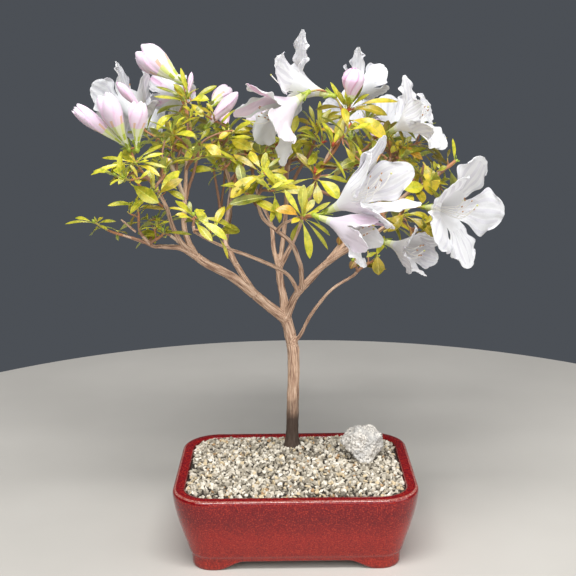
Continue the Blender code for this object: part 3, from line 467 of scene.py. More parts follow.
def turned(rng):
    """A rotation by a random turn."""
    numbers = np.array([rng.gauss(0, 1) for _ in range(4)])
    w, x, y, z = numbers / np.linalg.norm(numbers)
    return np.array(((1 - 2 * (y * y + z * z), 2 * (x * y - w * z), 2 * (x * z + w * y)),
                     (2 * (x * y + w * z), 1 - 2 * (x * x + z * z), 2 * (y * z - w * x)),
                     (2 * (x * z - w * y), 2 * (y * z + w * x), 1 - 2 * (x * x + y * y))))


def broken_chip(rng):
    """A chip of rock: the hull of a few points on a flattened block."""
    chip = bmesh.new()
    for _ in range(CHIP_CORNERS):
        point = np.array([rng.uniform(-1, 1) for _ in range(3)])
        chip.verts.new(point / np.abs(point).max() * CHIP_SHAPE * rng.uniform(0.85, 1.0))
    bmesh.ops.convex_hull(chip, input=chip.verts)
    bmesh.ops.delete(chip, geom=[v for v in chip.verts if not v.link_faces], context="VERTS")
    bmesh.ops.triangulate(chip, faces=chip.faces)
    chip.verts.index_update()
    return arrays_of(chip)


grit_rng = random.Random(5)
CHIPS = [broken_chip(grit_rng) for _ in range(CHIP_KINDS)]
print("kinds of chip", len(CHIPS), "with up to", max(len(faces) for _, faces in CHIPS), "faces")

# %% [markdown]
# The chips lie in two loose layers, with a gap round the trunk. The imported bed stays beneath them,
# painted nearly black as the shade in the gaps between the chips, and a ray cast down onto it tells
# how high each chip lies.

# %% Where the grit lies
GRIT_SIZES = (1.6, 2.6)
GRIT_SPACING = 3.7
GRIT_LAYERS = (0.0, 1.3)
RIM_INNER = 10.4
TRUNK_PLACE = (-2.0, 36.5)
TRUNK_ROOM = 5.5
UPPER_GAPS = 0.3
GRIT_TONES = ("#C9C0AF", "#B0A796", "#958C7B", "#DED6C6", "#736B5E", "#CDBA98", "#B18F68", "#E9E2D4")
GRIT_SHARES = (24, 20, 15, 16, 9, 8, 2, 6)

bed = frame["nodes"]["gravel_bed"]
stone_node = frame["nodes"]["feature_stone"]


def solid_tree(node):
    """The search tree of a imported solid, in millimetres from the pot's middle."""
    places = [(node.matrix_world @ vertex.co - POT_MIDDLE) / MM for vertex in node.data.vertices]
    return BVHTree.FromPolygons(places, [tuple(face.vertices) for face in node.data.polygons])


def from_wall(x, y):
    """How far a place on the bed lies inside the pot's outline."""
    side_x = POT_LENGTH / 2 - abs(x)
    side_y = POT_WIDTH / 2 - abs(y)
    if side_x < POT_CORNER and side_y < POT_CORNER:
        return POT_CORNER - math.hypot(POT_CORNER - side_x, POT_CORNER - side_y)
    return min(side_x, side_y)


bed_tree = solid_tree(bed)
stone_tree = solid_tree(stone_node)
grit_heap = Heap()
rows = int(POT_WIDTH / 2 / GRIT_SPACING) + 4
columns = int(POT_LENGTH / 2 / GRIT_SPACING) + 2
for layer, lift in enumerate(GRIT_LAYERS):
    for row in range(-rows, rows + 1):
        for column in range(-columns, columns + 1):
            x = (column + 0.5 * (row % 2) + grit_rng.uniform(-0.4, 0.4) + 0.5 * layer) * GRIT_SPACING
            y = (row + grit_rng.uniform(-0.4, 0.4)) * GRIT_SPACING * 0.88
            size = grit_rng.uniform(*GRIT_SIZES)
            if from_wall(x, y) < RIM_INNER + size * 0.7:
                continue
            if math.hypot(x - TRUNK_PLACE[0], y - TRUNK_PLACE[1]) < TRUNK_ROOM:
                continue
            if layer and grit_rng.random() < UPPER_GAPS:
                continue
            ground = bed_tree.ray_cast(Vector((x, y, 2 * POT_HEIGHT)), -UP)[0]
            middle = ground + UP * (lift + grit_rng.uniform(-0.35, 0.45))
            if stone_tree.find_nearest(middle)[3] < 0.6 * size and layer:
                continue
            points, faces = grit_rng.choice(CHIPS)
            grit_heap.add((points @ turned(grit_rng).T * size + np.array(middle), faces),
                          grit_rng.choices(range(len(GRIT_TONES)), GRIT_SHARES)[0])
print("grains", len(grit_heap.points))

# %% [markdown]
# ## Crushed rock
# Broken rock is matt, with tiny bright and dark crystals. The tones are dealt out grain by grain as
# plain colours, and a fine bump gives each face its tooth.

# %% Grit finishes
TOOTH = 0.3
CRUMB = 2.0

grit_finishes = []
for index, tone in enumerate(GRIT_TONES):
    material, tree, shader = finish(f"crushed_rock_{index + 1}", Base_Color=linear(tone), Roughness=0.9)
    place = add(tree, "ShaderNodeTexCoord").outputs["Object"]
    tooth = add(tree, "ShaderNodeTexNoise", {"Vector": place, "Scale": scale_of(TOOTH), "Detail": 3.0})
    relief = add(tree, "ShaderNodeBump", {"Strength": 0.6, "Distance": 0.2 * MM,
                                          "Height": tooth.outputs["Fac"]})
    tree.links.new(relief.outputs["Normal"], shader.inputs["Normal"])
    grit_finishes.append(material)
grit = grit_heap.build("grit_grains", grit_finishes, crease=20)
dress(grit, "gravel")

# The bed's near-black colour is painted shade, for the shadow in the gaps between the chips.
shade_under_grit, tree, shader = finish("damp_grit", Roughness=0.8)
place = add(tree, "ShaderNodeTexCoord").outputs["Object"]
crumb = add(tree, "ShaderNodeTexVoronoi", {"Vector": place, "Scale": scale_of(CRUMB)})
shade = add(tree, "ShaderNodeValToRGB", {"Fac": crumb.outputs["Distance"]},
            stops=((0.1, "#15120F"), (0.6, "#3A332A")))
tree.links.new(shade.outputs["Color"], shader.inputs["Base Color"])
relief = add(tree, "ShaderNodeBump", {"Strength": 0.8, "Distance": 0.8 * MM,
                                      "Height": crumb.outputs["Distance"]})
tree.links.new(relief.outputs["Normal"], shader.inputs["Normal"])
bed.data.materials.clear()
bed.data.materials.append(shade_under_grit)

# %% [markdown]
# ## The stone
# The pale stone is a broken block of weathered granite, with blunt facets and a rough, pitted skin.
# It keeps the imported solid's facets. Each point of a fine ball is drawn in to the nearest facet's
# plane, and two sizes of noise then wear the edges and the skin down.

# %% The stone's shape
GRAVEL_TOP = 65.6
STONE_PLACE = (57.5, 16.0)
STONE_MIDDLE = 14.0
STONE_FACETS = ((180, 46, 13.6), (-165, -42, 13.2), (0, 6, 18.5), (14, 46, 17.5), (-90, 12, 13.5),
                (-48, -4, 17.0), (-128, 14, 14.5), (90, 18, 13.5), (45, 12, 17.0), (138, 6, 15.0),
                (-76, 54, 14.2), (105, 55, 14.0), (-30, 82, 13.6), (-12, -34, 17.5))
EDGE_WEAR = 34.0
PIT_SIZE = 2.6
PIT_DEPTH = 1.5
CHIP_SIZE = 7.0
CHIP_DEPTH = 1.5


def aim(azimuth, elevation):
    """The unit direction with this azimuth and elevation, in degrees."""
    turn = math.radians(azimuth)
    rise = math.radians(elevation)
    return Vector((math.cos(rise) * math.cos(turn), math.cos(rise) * math.sin(turn), math.sin(rise)))


def ball_mesh(rounds):
    """The points and triangles of a ball of radius 1, cut finer with each round."""
    ball = bmesh.new()
    bmesh.ops.create_icosphere(ball, subdivisions=rounds, radius=1.0)
    return arrays_of(ball)


facet_ways = np.array([aim(azimuth, elevation) for azimuth, elevation, _ in STONE_FACETS] + [-UP])
facet_reach = np.array([reach for _, _, reach in STONE_FACETS] + [STONE_MIDDLE])
stone_ways, stone_faces = ball_mesh(6)
nearness = np.maximum(stone_ways @ facet_ways.T, 0.0) / facet_reach
reach = (nearness ** EDGE_WEAR).sum(1) ** (-1 / EDGE_WEAR)
stone_points = []
for way, far in zip(stone_ways, reach):
    point = Vector(way) * far
    chip = noise.noise(point / CHIP_SIZE) - abs(noise.noise(point / CHIP_SIZE * 2.2 + Vector((3, 9, 4))))
    pit = noise.noise(point / PIT_SIZE + Vector((7, 3, 1))) + 0.5 * noise.noise(point * 2.1 / PIT_SIZE)
    seat = min(1.0, max(0.0, (point.z + STONE_MIDDLE) / 3.0))
    point += Vector(way) * (CHIP_DEPTH * chip + PIT_DEPTH * min(0.2, pit)) * seat
    stone_points.append(point + Vector((*STONE_PLACE, GRAVEL_TOP + STONE_MIDDLE)))
stone_heap = Heap()
stone_heap.add((np.array(stone_points), stone_faces))
print("stone points", len(stone_points), "facets", len(facet_ways))

# %% [markdown]
# ## Weathered granite
# Granite is a mix of white feldspar, grey quartz and black mica, in grains of one or two
# millimetres. Outdoors its face goes chalky, with a little rust and dust in the hollows.

# %% Granite
CRYSTAL = 1.3
DUST_PATCH = 11.1
ROUGH_MARK = 1.43

granite, tree, shader = finish("weathered_granite", Roughness=0.9)
place = add(tree, "ShaderNodeTexCoord").outputs["Object"]
crystals = add(tree, "ShaderNodeTexVoronoi", {"Vector": place, "Scale": scale_of(CRYSTAL)})
tones = add(tree, "ShaderNodeValToRGB", {"Fac": crystals.outputs["Color"]},
            stops=((0.04, "#57524D"), (0.92, "#E9E4DB"), (0.12, "#9C9894"),
                   (0.5, "#C9C3BA")))
dust = add(tree, "ShaderNodeTexNoise", {"Vector": place, "Scale": scale_of(DUST_PATCH), "Detail": 5.0})
patch = add(tree, "ShaderNodeMapRange", {"Value": dust.outputs["Fac"], "From Min": 0.45, "From Max": 0.7,
                                         "To Min": 0.0, "To Max": 0.6})
colour = add(tree, "ShaderNodeMix", {"Factor": patch.outputs["Result"], 6: tones.outputs["Color"],
                                     7: linear("#A9A9A8")}, data_type="RGBA")
tree.links.new(colour.outputs[2], shader.inputs["Base Color"])
rough = add(tree, "ShaderNodeTexNoise", {"Vector": place, "Scale": scale_of(ROUGH_MARK), "Detail": 5.0})
relief = add(tree, "ShaderNodeBump", {"Strength": 0.8, "Distance": 0.6 * MM,
                                      "Height": rough.outputs["Fac"]})
tree.links.new(relief.outputs["Normal"], shader.inputs["Normal"])
stone = stone_heap.build("pale_stone", (granite,), crease=40)
dress(stone, "pale_rock", "feature_stone")

# %% [markdown]
# ## The limbs
# Each bough leaves its parent at a share of the parent's length and runs through a few places that
# were measured from the photograph. A smooth curve joins them. The rule and the places are those of
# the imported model, so the fine limbs lie exactly on its solids.

# %% The routes of trunk and boughs
MOUND_HEIGHT = 2.2
TRUNK_THICKNESS = 10.5
TRUNK_TOP_THICKNESS = 10.0
FLARE = 2.6
FLARE_HEIGHT = 14.0
LIMB_SPACING = 18.0
Limb = namedtuple("Limb", "name parent share thick thin route")

TRUNK_ROUTE = ((-1, 36, 111), (0, 36, 152), (-3, 36, 173), (-7, 34, 189))
BOUGHS = (
    Limb("left_bough", "trunk", 0.97, 9.0, 6.4,
         ((-23, 30, 200), (-39, 24, 216), (-55, 20, 229), (-72, 16, 239), (-83, 14, 248))),
    Limb("right_bough", "trunk", 0.97, 7.0, 4.6,
         ((2, 28, 207), (16, 20, 225), (26, 16, 236), (37, 12, 245), (59, 10, 258))),
    Limb("centre_bough", "trunk", 0.97, 7.6, 5.6, ((-8, 37, 204), (-10, 40, 213), (-12, 46, 231))),
    Limb("left_low_bough", "left_bough", 0.94, 5.0, 3.8, ((-92, 10, 253), (-106, 8, 255))),
    Limb("left_rise_bough", "left_bough", 0.97, 5.4, 4.0, ((-89, 16, 267), (-89, 24, 290))),
    Limb("left_outer_bough", "left_bough", 0.98, 4.6, 3.2,
         ((-91, 8, 258), (-97, 2, 272), (-100, -8, 289), (-105, -14, 302))),
    Limb("inner_left_bough", "left_bough", 0.36, 5.6, 3.4,
         ((-47, 34, 232), (-53, 42, 243), (-58, 48, 252), (-56, 58, 271), (-53, 66, 292))),
    Limb("centre_rise_bough", "centre_bough", 0.96, 4.6, 3.2,
         ((-9, 54, 243), (-6, 64, 265), (-4, 66, 282), (-4, 66, 300))),
    Limb("centre_left_bough", "centre_bough", 0.94, 4.4, 3.0,
         ((-16, 53, 243), (-18, 66, 263), (-26, 74, 279), (-31, 80, 292))),
    Limb("centre_right_bough", "centre_bough", 0.92, 4.6, 3.2, ((0, 46, 250), (8, 48, 268), (18, 48, 295))),
    Limb("right_outer_bough", "right_bough", 0.72, 4.0, 3.0,
         ((46, 26, 254), (62, 36, 266), (83, 40, 281), (101, 42, 294))),
    Limb("right_rise_bough", "right_outer_bough", 0.6, 3.2, 2.6,
         ((76, 50, 288), (82, 60, 302), (85, 66, 316))),
    Limb("front_rise_bough", "right_bough", 0.33, 4.2, 3.0,
         ((7, 12, 233), (5, 5, 243), (-1, -5, 259), (-13, -12, 271), (-23, -15, 281), (-27, -16, 292))),
    Limb("front_shoot", "front_rise_bough", 0.72, 3.0, 2.4, ((-8, -23, 277), (0, -30, 282))),
    Limb("crossing_shoot", "right_bough", 0.28, 3.6, 2.4,
         ((-4, 13, 229), (-21, 3, 241), (-39, -4, 250), (-52, -9, 256), (-68, -16, 265), (-75, -20, 270))),
    Limb("right_shoot", "trunk", 0.78, 3.4, 2.4,
         ((6, 31, 172), (13, 24, 188), (22, 18, 203), (33, 11, 217), (48, 6, 228))),
    Limb("back_left_bough", "inner_left_bough", 0.3, 4.4, 3.0,
         ((-58, 68, 243), (-56, 104, 266), (-56, 124, 288))),
    Limb("back_bough", "centre_bough", 0.86, 4.6, 3.0, ((-9, 74, 241), (-6, 106, 265), (-5, 124, 286))),
    Limb("back_right_bough", "right_bough", 0.62, 4.2, 3.0, ((42, 54, 247), (61, 90, 266), (76, 112, 285))),
)
print("boughs", len(BOUGHS))

# %% [markdown]
# A curve that passes through all of its places turns each short list into a smooth route. A limb's
# thickness runs evenly from its start to its end, and the trunk flares out at its foot.

# %% Growing the limbs
def smooth_route(points, spacing):
    """Points along one smooth curve through the given ones, about the spacing apart."""
    knots = [Vector(point) for point in points]
    chain = [knots[0] * 2 - knots[1]] + knots + [knots[-1] * 2 - knots[-2]]
    route = [knots[0]]
    for a, b, c, d in zip(chain, chain[1:], chain[2:], chain[3:]):
        steps = max(1, round((c - b).length / spacing))
        for step in range(1, steps + 1):
            t = step / steps
            route.append(0.5 * (2 * b + (c - a) * t + (2 * a - 5 * b + 4 * c - d) * t ** 2
                                + (3 * b - a - 3 * c + d) * t ** 3))
    return route


def along(route, share):
    """The point at a share of the route's length."""
    lengths = [(b - a).length for a, b in zip(route, route[1:])]
    left = share * sum(lengths)
    for a, b, length in zip(route, route[1:], lengths):
        if left <= length:
            return a.lerp(b, left / length)
        left -= length
    return route[-1].copy()


def distances(route):
    """How far along a route each of its points lies."""
    return [0.0, *itertools.accumulate((b - a).length for a, b in zip(route, route[1:]))]


def taper(route, first, last):
    """A radius at each point of a route, from the thickness at its start to that at its end."""
    steps = len(route) - 1
    return [(first + (last - first) * i / steps) / 2 for i in range(steps + 1)]


def directions(route):
    """The unit direction of the route at each of its points."""
    ways = []
    for i in range(len(route)):
        ways.append((route[min(i + 1, len(route) - 1)] - route[max(i - 1, 0)]).normalized())
    return ways


def grow_limbs(spacing):
    """The route and radii of the trunk and of every bough, by name, with points the spacing apart."""
    base = Vector((*TRUNK_PLACE, GRAVEL_TOP + MOUND_HEIGHT + GAP))
    low = [base + UP * rise for rise in (0.0, 4.0, 9.0, 16.0)]
    route = low[:-1] + smooth_route([low[-1]] + list(TRUNK_ROUTE), spacing)
    radii = [radius + FLARE * math.exp(-(point.z - base.z) / FLARE_HEIGHT * 2)
             for point, radius in zip(route, taper(route, TRUNK_THICKNESS, TRUNK_TOP_THICKNESS))]
    limbs = {"trunk": (route, radii)}
    for limb in BOUGHS:
        start = along(limbs[limb.parent][0], limb.share)
        route = smooth_route([start] + list(limb.route), spacing)
        limbs[limb.name] = (route, taper(route, limb.thick, limb.thin))
    return limbs


limbs = grow_limbs(LIMB_SPACING)
print("limbs", len(limbs))

# %% [markdown]
# ## The masses of foliage
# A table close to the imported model's says, for each mass, which bough carries it, where its stem
# and its shoots end, how many leaves a shoot has, and where each flower stands. A flower has the
# place of its base, the way that it looks, its turn, the spread of its five lobes, their length and
# the breadth of its mouth. A bud has its base, its way, its length and its breadth.

# %% The table of masses
Bloom = namedtuple("Bloom", "base azimuth elevation turn spreads length mouth tint twists",
                   defaults=((12, -15, 10, -8, 14),))
Bud = namedtuple("Bud", "base azimuth elevation length breadth tint")
Mass = namedtuple("Mass", "name bough stem tips extra leaves centre reach tints blooms buds")

MASSES = (
    Mass("left_low_leaves", "left_low_bough", ((-115, 6, 256), (-122, 3, 265)),
         ((-162, 14, 275), (-126, 2, 290), (-112, 20, 276), (-104, -4, 270)), 0, 9,
         (-134, 6, 275), (72, 56, 56), "fresh", (), ()),
    Mass("left_outer_blossom", "left_outer_bough", ((-111, -17, 312),),
         ((-121, -18, 325), (-101, -4, 318), (-128, -36, 317), (-108, -24, 304), (-138, -14, 316)), 0, 8,
         (-122, -18, 330), (66, 50, 66), "fresh",
         (Bloom((-126, -9, 336), -166, 39, 20, (2, 6, 4, 8, 3), 24, 5, "blush"),
          Bloom((-127, -14, 337), -140, 64, 0, (4, 2, 6, 3, 5), 17, 7.5, "blush"),
          Bloom((-120, -18, 337), -60, 80, 36, (3, 5, 2, 4, 6), 7, 6.5, "blush")), ()),
    Mass("left_top_blossom", "left_rise_bough", ((-88, 30, 306), (-87, 38, 332)),
         ((-88, 44, 372), (-84, 42, 355), (-80, 24, 330), (-108, 44, 338), (-98, 24, 348),
          (-100, 66, 336)), 0, 8,
         (-96, 44, 358), (76, 64, 70), "lime",
         (Bloom((-128, 46, 352), 113, 30, 276, (25, 23, 25, 47, 51), 31, 14, "white", (10, 62, 12, -8, 14)),
          Bloom((-94, 62, 374), 106, 4, 306, (35, 14, 39, 26, 28), 17, 12, "striped"),
          Bloom((-88, 46, 385), 166, 36, 10, (4, 8, 3, 6, 8), 17, 11, "blush")),
         (Bud((-122, 32, 365), -156, 48, 30, 9, "rose"), Bud((-86, 56, 375), 56, 74, 20, 5, "pink"))),
    Mass("inner_left_leaves", "inner_left_bough", ((-56, 68, 308), (-60, 68, 326)),
         ((-66, 76, 347), (-48, 60, 324), (-62, 38, 316), (-54, 54, 344), (-60, 92, 334)), 1, 8,
         (-60, 66, 345), (50, 54, 58), "lime",
         (Bloom((-70, 78, 364), 75, 15, 299, (2, 6, 4, 6, 6), 20, 7, "blush"),),
         (Bud((-71, 48, 349), -10, 46, 40, 12, "blush"),)),
    Mass("crossing_shoot_leaves", "crossing_shoot", ((-78, -22, 277),),
         ((-77, -24, 285), (-62, -26, 274)), 0, 9,
         (-70, -26, 280), (46, 42, 38), "lime", (), ()),
    Mass("centre_left_leaves", "centre_left_bough", ((-34, 83, 306),),
         ((-45, 88, 335), (-26, 84, 326), (-50, 84, 308), (-26, 70, 342), (-12, 92, 330)), 0, 8,
         (-34, 84, 326), (50, 48, 50), "lime", (), ()),
    Mass("front_rise_leaves", "front_rise_bough", ((-26, -16, 301),),
         ((-23, -16, 314), (-38, -22, 304), (-12, -26, 306)), 0, 9,
         (-26, -20, 310), (46, 42, 40), "lime", (), ()),
    Mass("front_blossom", "front_shoot", ((5, -35, 284),), ((9, -42, 286),), 0, 12,
         (48, -62, 286), (100, 78, 76), "amber",
         (Bloom((24, -43, 289), -26, 26, 348, (27, 33, 45, 17, 22), 43, 14, "white"),
          Bloom((17, -56, 289), -27, -16, 320, (2, 14, 12, 30, 13), 23, 12, "blush")), ()),
    Mass("centre_top_leaves", "centre_rise_bough", ((-2, 65, 315),),
         ((21, 66, 346), (0, 58, 338), (-12, 46, 330), (12, 76, 322), (26, 50, 334)), 0, 8,
         (8, 60, 338), (50, 48, 48), "fresh", (), ()),
    Mass("crown_top_blossom", "centre_right_bough", ((24, 47, 310), (34, 45, 330)),
         ((19, 26, 312), (48, 46, 361), (47, 30, 346), (60, 30, 322), (54, 58, 314), (70, 44, 338),
          (34, 30, 334)), 0, 8,
         (50, 44, 350), (80, 70, 80), "lime",
         (Bloom((35, 40, 374), 166, 14, 2, (76, 52, 78, 82, 66), 33, 14, "white", (26, 24, 10, -8, 16)),
          Bloom((14, 33, 377), -156, -30, 332, (56, 10, 54, 46, 44), 31, 16, "blush", (10, -12, 8, -8, 10)),
          Bloom((47, 62, 368), 60, 24, 352, (46, 13, 21, 22, 22), 24, 12, "white", (-24, -10, 12, 8, -12))),
         (Bud((50, 42, 370), -62, 80, 27, 20, "rose"),)),
    Mass("right_upper_blossom", "right_rise_bough", ((88, 69, 322),),
         ((99, 72, 328), (80, 78, 332), (94, 52, 322), (114, 74, 334), (76, 88, 316)), 0, 8,
         (104, 62, 336), (66, 64, 62), "olive",
         (Bloom((82, 62, 341), -45, 24, 3, (72, 8, 18, 72, 98), 26, 12, "white", (10, 10, -12, 8, 14)),), ()),
    Mass("right_tip_leaves", "right_outer_bough", ((112, 43, 300), (126, 47, 309)),
         ((117, 36, 304), (139, 50, 317), (132, 60, 300), (104, 48, 304)), 0, 8,
         (120, 46, 302), (46, 44, 42), "olive", (), ()),
    Mass("right_low_blossom", "right_bough", ((70, 9, 265), (82, 8, 274)),
         ((90, 8, 281), (88, 28, 272), (106, 2, 266), (74, 16, 284)), 0, 8,
         (118, 2, 268), (88, 70, 68), "olive",
         (Bloom((73, 2, 259), -45, -10, 109, (20, 8, 3, 5, 50), 18, 13, "white"),
          Bloom((108, 16, 284), -50, 1, 334, (64, 41, 57, 68, 60), 36, 14, "white")), ()),
    Mass("right_shoot_leaves", "right_shoot", ((53, 4, 233),), ((68, 4, 244), (49, 2, 242)), 0, 7,
         (58, 2, 241), (40, 36, 32), "amber", (), ()),
    Mass("back_left_blossom", "back_left_bough", ((-60, 132, 304), (-70, 136, 320)),
         ((-74, 138, 332), (-108, 122, 318), (-40, 138, 316)), 3, 7,
         (-82, 130, 322), (80, 52, 54), "fresh",
         (Bloom((-122, 124, 338), 116, 16, 20, (25, 30, 22, 26, 30), 30, 12, "white"),),
         (Bud((-60, 142, 336), 100, 50, 36, 12, "pink"),)),
    Mass("back_blossom", "back_bough", ((-6, 133, 304), (-3, 138, 320)),
         ((-4, 140, 332), (-22, 128, 318), (20, 134, 316)), 2, 7,
         (0, 136, 318), (52, 48, 48), "fresh",
         (Bloom((-18, 126, 333), 98, 18, 15, (10, 15, 12, 16, 12), 28, 11, "blush"),), ()),
    Mass("back_right_blossom", "back_right_bough", ((82, 119, 302), (90, 124, 318)),
         ((88, 126, 332), (112, 112, 312), (60, 130, 316)), 3, 7,
         (88, 122, 316), (60, 50, 54), "olive",
         (Bloom((90, 122, 330), 74, 20, 40, (26, 30, 20, 28, 26), 30, 12, "white"),
          Bloom((56, 126, 332), 90, 24, 5, (22, 28, 20, 30, 26), 30, 12, "white")),
         (Bud((78, 138, 322), 80, 45, 36, 12, "pink"),)),
)
MASS_NODES = [mass.name for mass in MASSES]
HALF_LINE = -20


def half_of(mass):
    """The half of the crown, left or right, that a mass belongs to."""
    return "left" if mass.centre[0] < HALF_LINE else "right"


print("masses", len(MASSES), "flowers", sum(len(mass.blooms) + len(mass.buds) for mass in MASSES))

# %% [markdown]
# ## Round tubes
# Limbs, twigs, flower stalks and stamens are all tubes along a route. A frame of two side
# directions is carried along the route without twisting, and each ring is drawn in it.

# %% Tubes
def carried_frames(route):
    """The direction and two side directions at each point of a route, as arrays."""
    ways = directions(route)
    normal = ways[0].orthogonal().normalized()
    frames = []
    for way in ways:
        normal = (normal - way * normal.dot(way)).normalized()
        frames.append((way, normal, way.cross(normal)))
    return np.array(frames)


def tube(route, radii, sides):
    """A closed tube along a route, with a radius at each point and a point at both ends."""
    frames = carried_frames(route)
    angles = np.arange(sides) * 2 * math.pi / sides
    centres = np.array(route)
    rings = (centres[:, None, :]
             + np.array(radii)[:, None, None] * (np.cos(angles)[None, :, None] * frames[:, None, 1]
                                                 + np.sin(angles)[None, :, None] * frames[:, None, 2]))
    points = np.concatenate((rings.reshape(-1, 3), centres[:1] - frames[:1, 0] * radii[0] * 0.3,
                             centres[-1:] + frames[-1:, 0] * radii[-1] * 0.6))
    faces = grid_faces(len(centres), sides, around=True)
    ring = np.arange(sides)
    ends = fan(ring, len(points) - 2, flip=True), fan(ring + (len(centres) - 1) * sides, len(points) - 1)
    return points, np.concatenate((faces,) + ends)


def search_tree(shape):
    """A search tree over a shape's faces."""
    points, faces = shape
    corners = [face[:3] if face[2] == face[3] else face for face in np.asarray(faces).tolist()]
    return BVHTree.FromPolygons(np.asarray(points).tolist(), corners)


straight = [Vector((0, 0, height)) for height in range(3)]
print("a tube of 8 sides through 3 points has", len(tube(straight, (1, 1, 1), 8)[1]), "faces")

# %% [markdown]
# ## The flowers
# An azalea flower is one thin sheet: a funnel that opens into five lobes with wavy edges, each
# overlapping the next. A cloth simulation could crumple it, but a formula keeps control of each
# lobe, so that it ends where the photograph shows it. A centre line runs up each lobe, from the
# funnel's foot to the lobe's tip. Rows cross it, in the funnel as an arc of a circle and beyond it
# as a petal's width, with ribs, ruffles and a slight turn that lays one edge over its neighbour.

# %% A corolla
LOBES = 5
FIFTH = 2 * math.pi / LOBES
FUNNEL_LENGTH = 30.0
FUNNEL_BASE = 1.8
FUNNEL_WAIST = 0.32
PETAL_BREADTH = 0.56
PETAL_WIDEST = 0.55
PETAL_OVERLAP = 1.3
PETAL_CURL = (math.radians(-6.0), math.radians(9.0))
FUNNEL_ROWS = 9
LOBE_ROWS = 18
LOBE_COLUMNS = 14
RUFFLE = 1.7
RIBS = 0.3
CRINKLE = 0.8
CRINKLE_SIZE = 6.0
LAP = 0.09
TIP_ROUND = 0.30


def flower_frame(azimuth, elevation):
    """The way that a flower looks, and the two directions across it."""
    axis = aim(azimuth, elevation)
    side = axis.cross(UP).normalized()
    return np.array(axis), np.array(side), np.array(side.cross(axis))


def ease(value):
    """Runs smoothly from 0 to 1 as the value does."""
    value = np.clip(value, 0.0, 1.0)
    return value * value * (3 - 2 * value)


def centre_line(bloom, lobe):
    """Distance, height, radius and slope along the middle of a lobe; distance 0 is at the mouth."""
    spread = math.radians(bloom.spreads[lobe])
    low, high = spread + PETAL_CURL[0], spread + PETAL_CURL[1]
    widest = bloom.length * PETAL_WIDEST
    rest = bloom.length - widest
    knots = [Vector((0.0, FUNNEL_BASE, 0)), Vector((FUNNEL_LENGTH / 2, bloom.mouth * FUNNEL_WAIST, 0)),
             Vector((FUNNEL_LENGTH, bloom.mouth, 0))]
    knots.append(knots[-1] + Vector((math.cos(low), math.sin(low), 0)) * widest)
    knots.append(knots[-1] + Vector((math.cos(high), math.sin(high), 0)) * rest)
    line = np.array(smooth_route(knots, 1.5))[:, :2]
    steps = np.linalg.norm(np.diff(line, axis=0), axis=1)
    distance = np.concatenate(([0.0], np.cumsum(steps)))
    mouth = np.argmin(np.abs(line[:, 0] - FUNNEL_LENGTH) + np.abs(line[:, 1] - bloom.mouth))
    slope = np.unwrap(np.arctan2(np.gradient(line[:, 1]), np.gradient(line[:, 0])))
    return distance - distance[mouth], line[:, 0], line[:, 1], slope


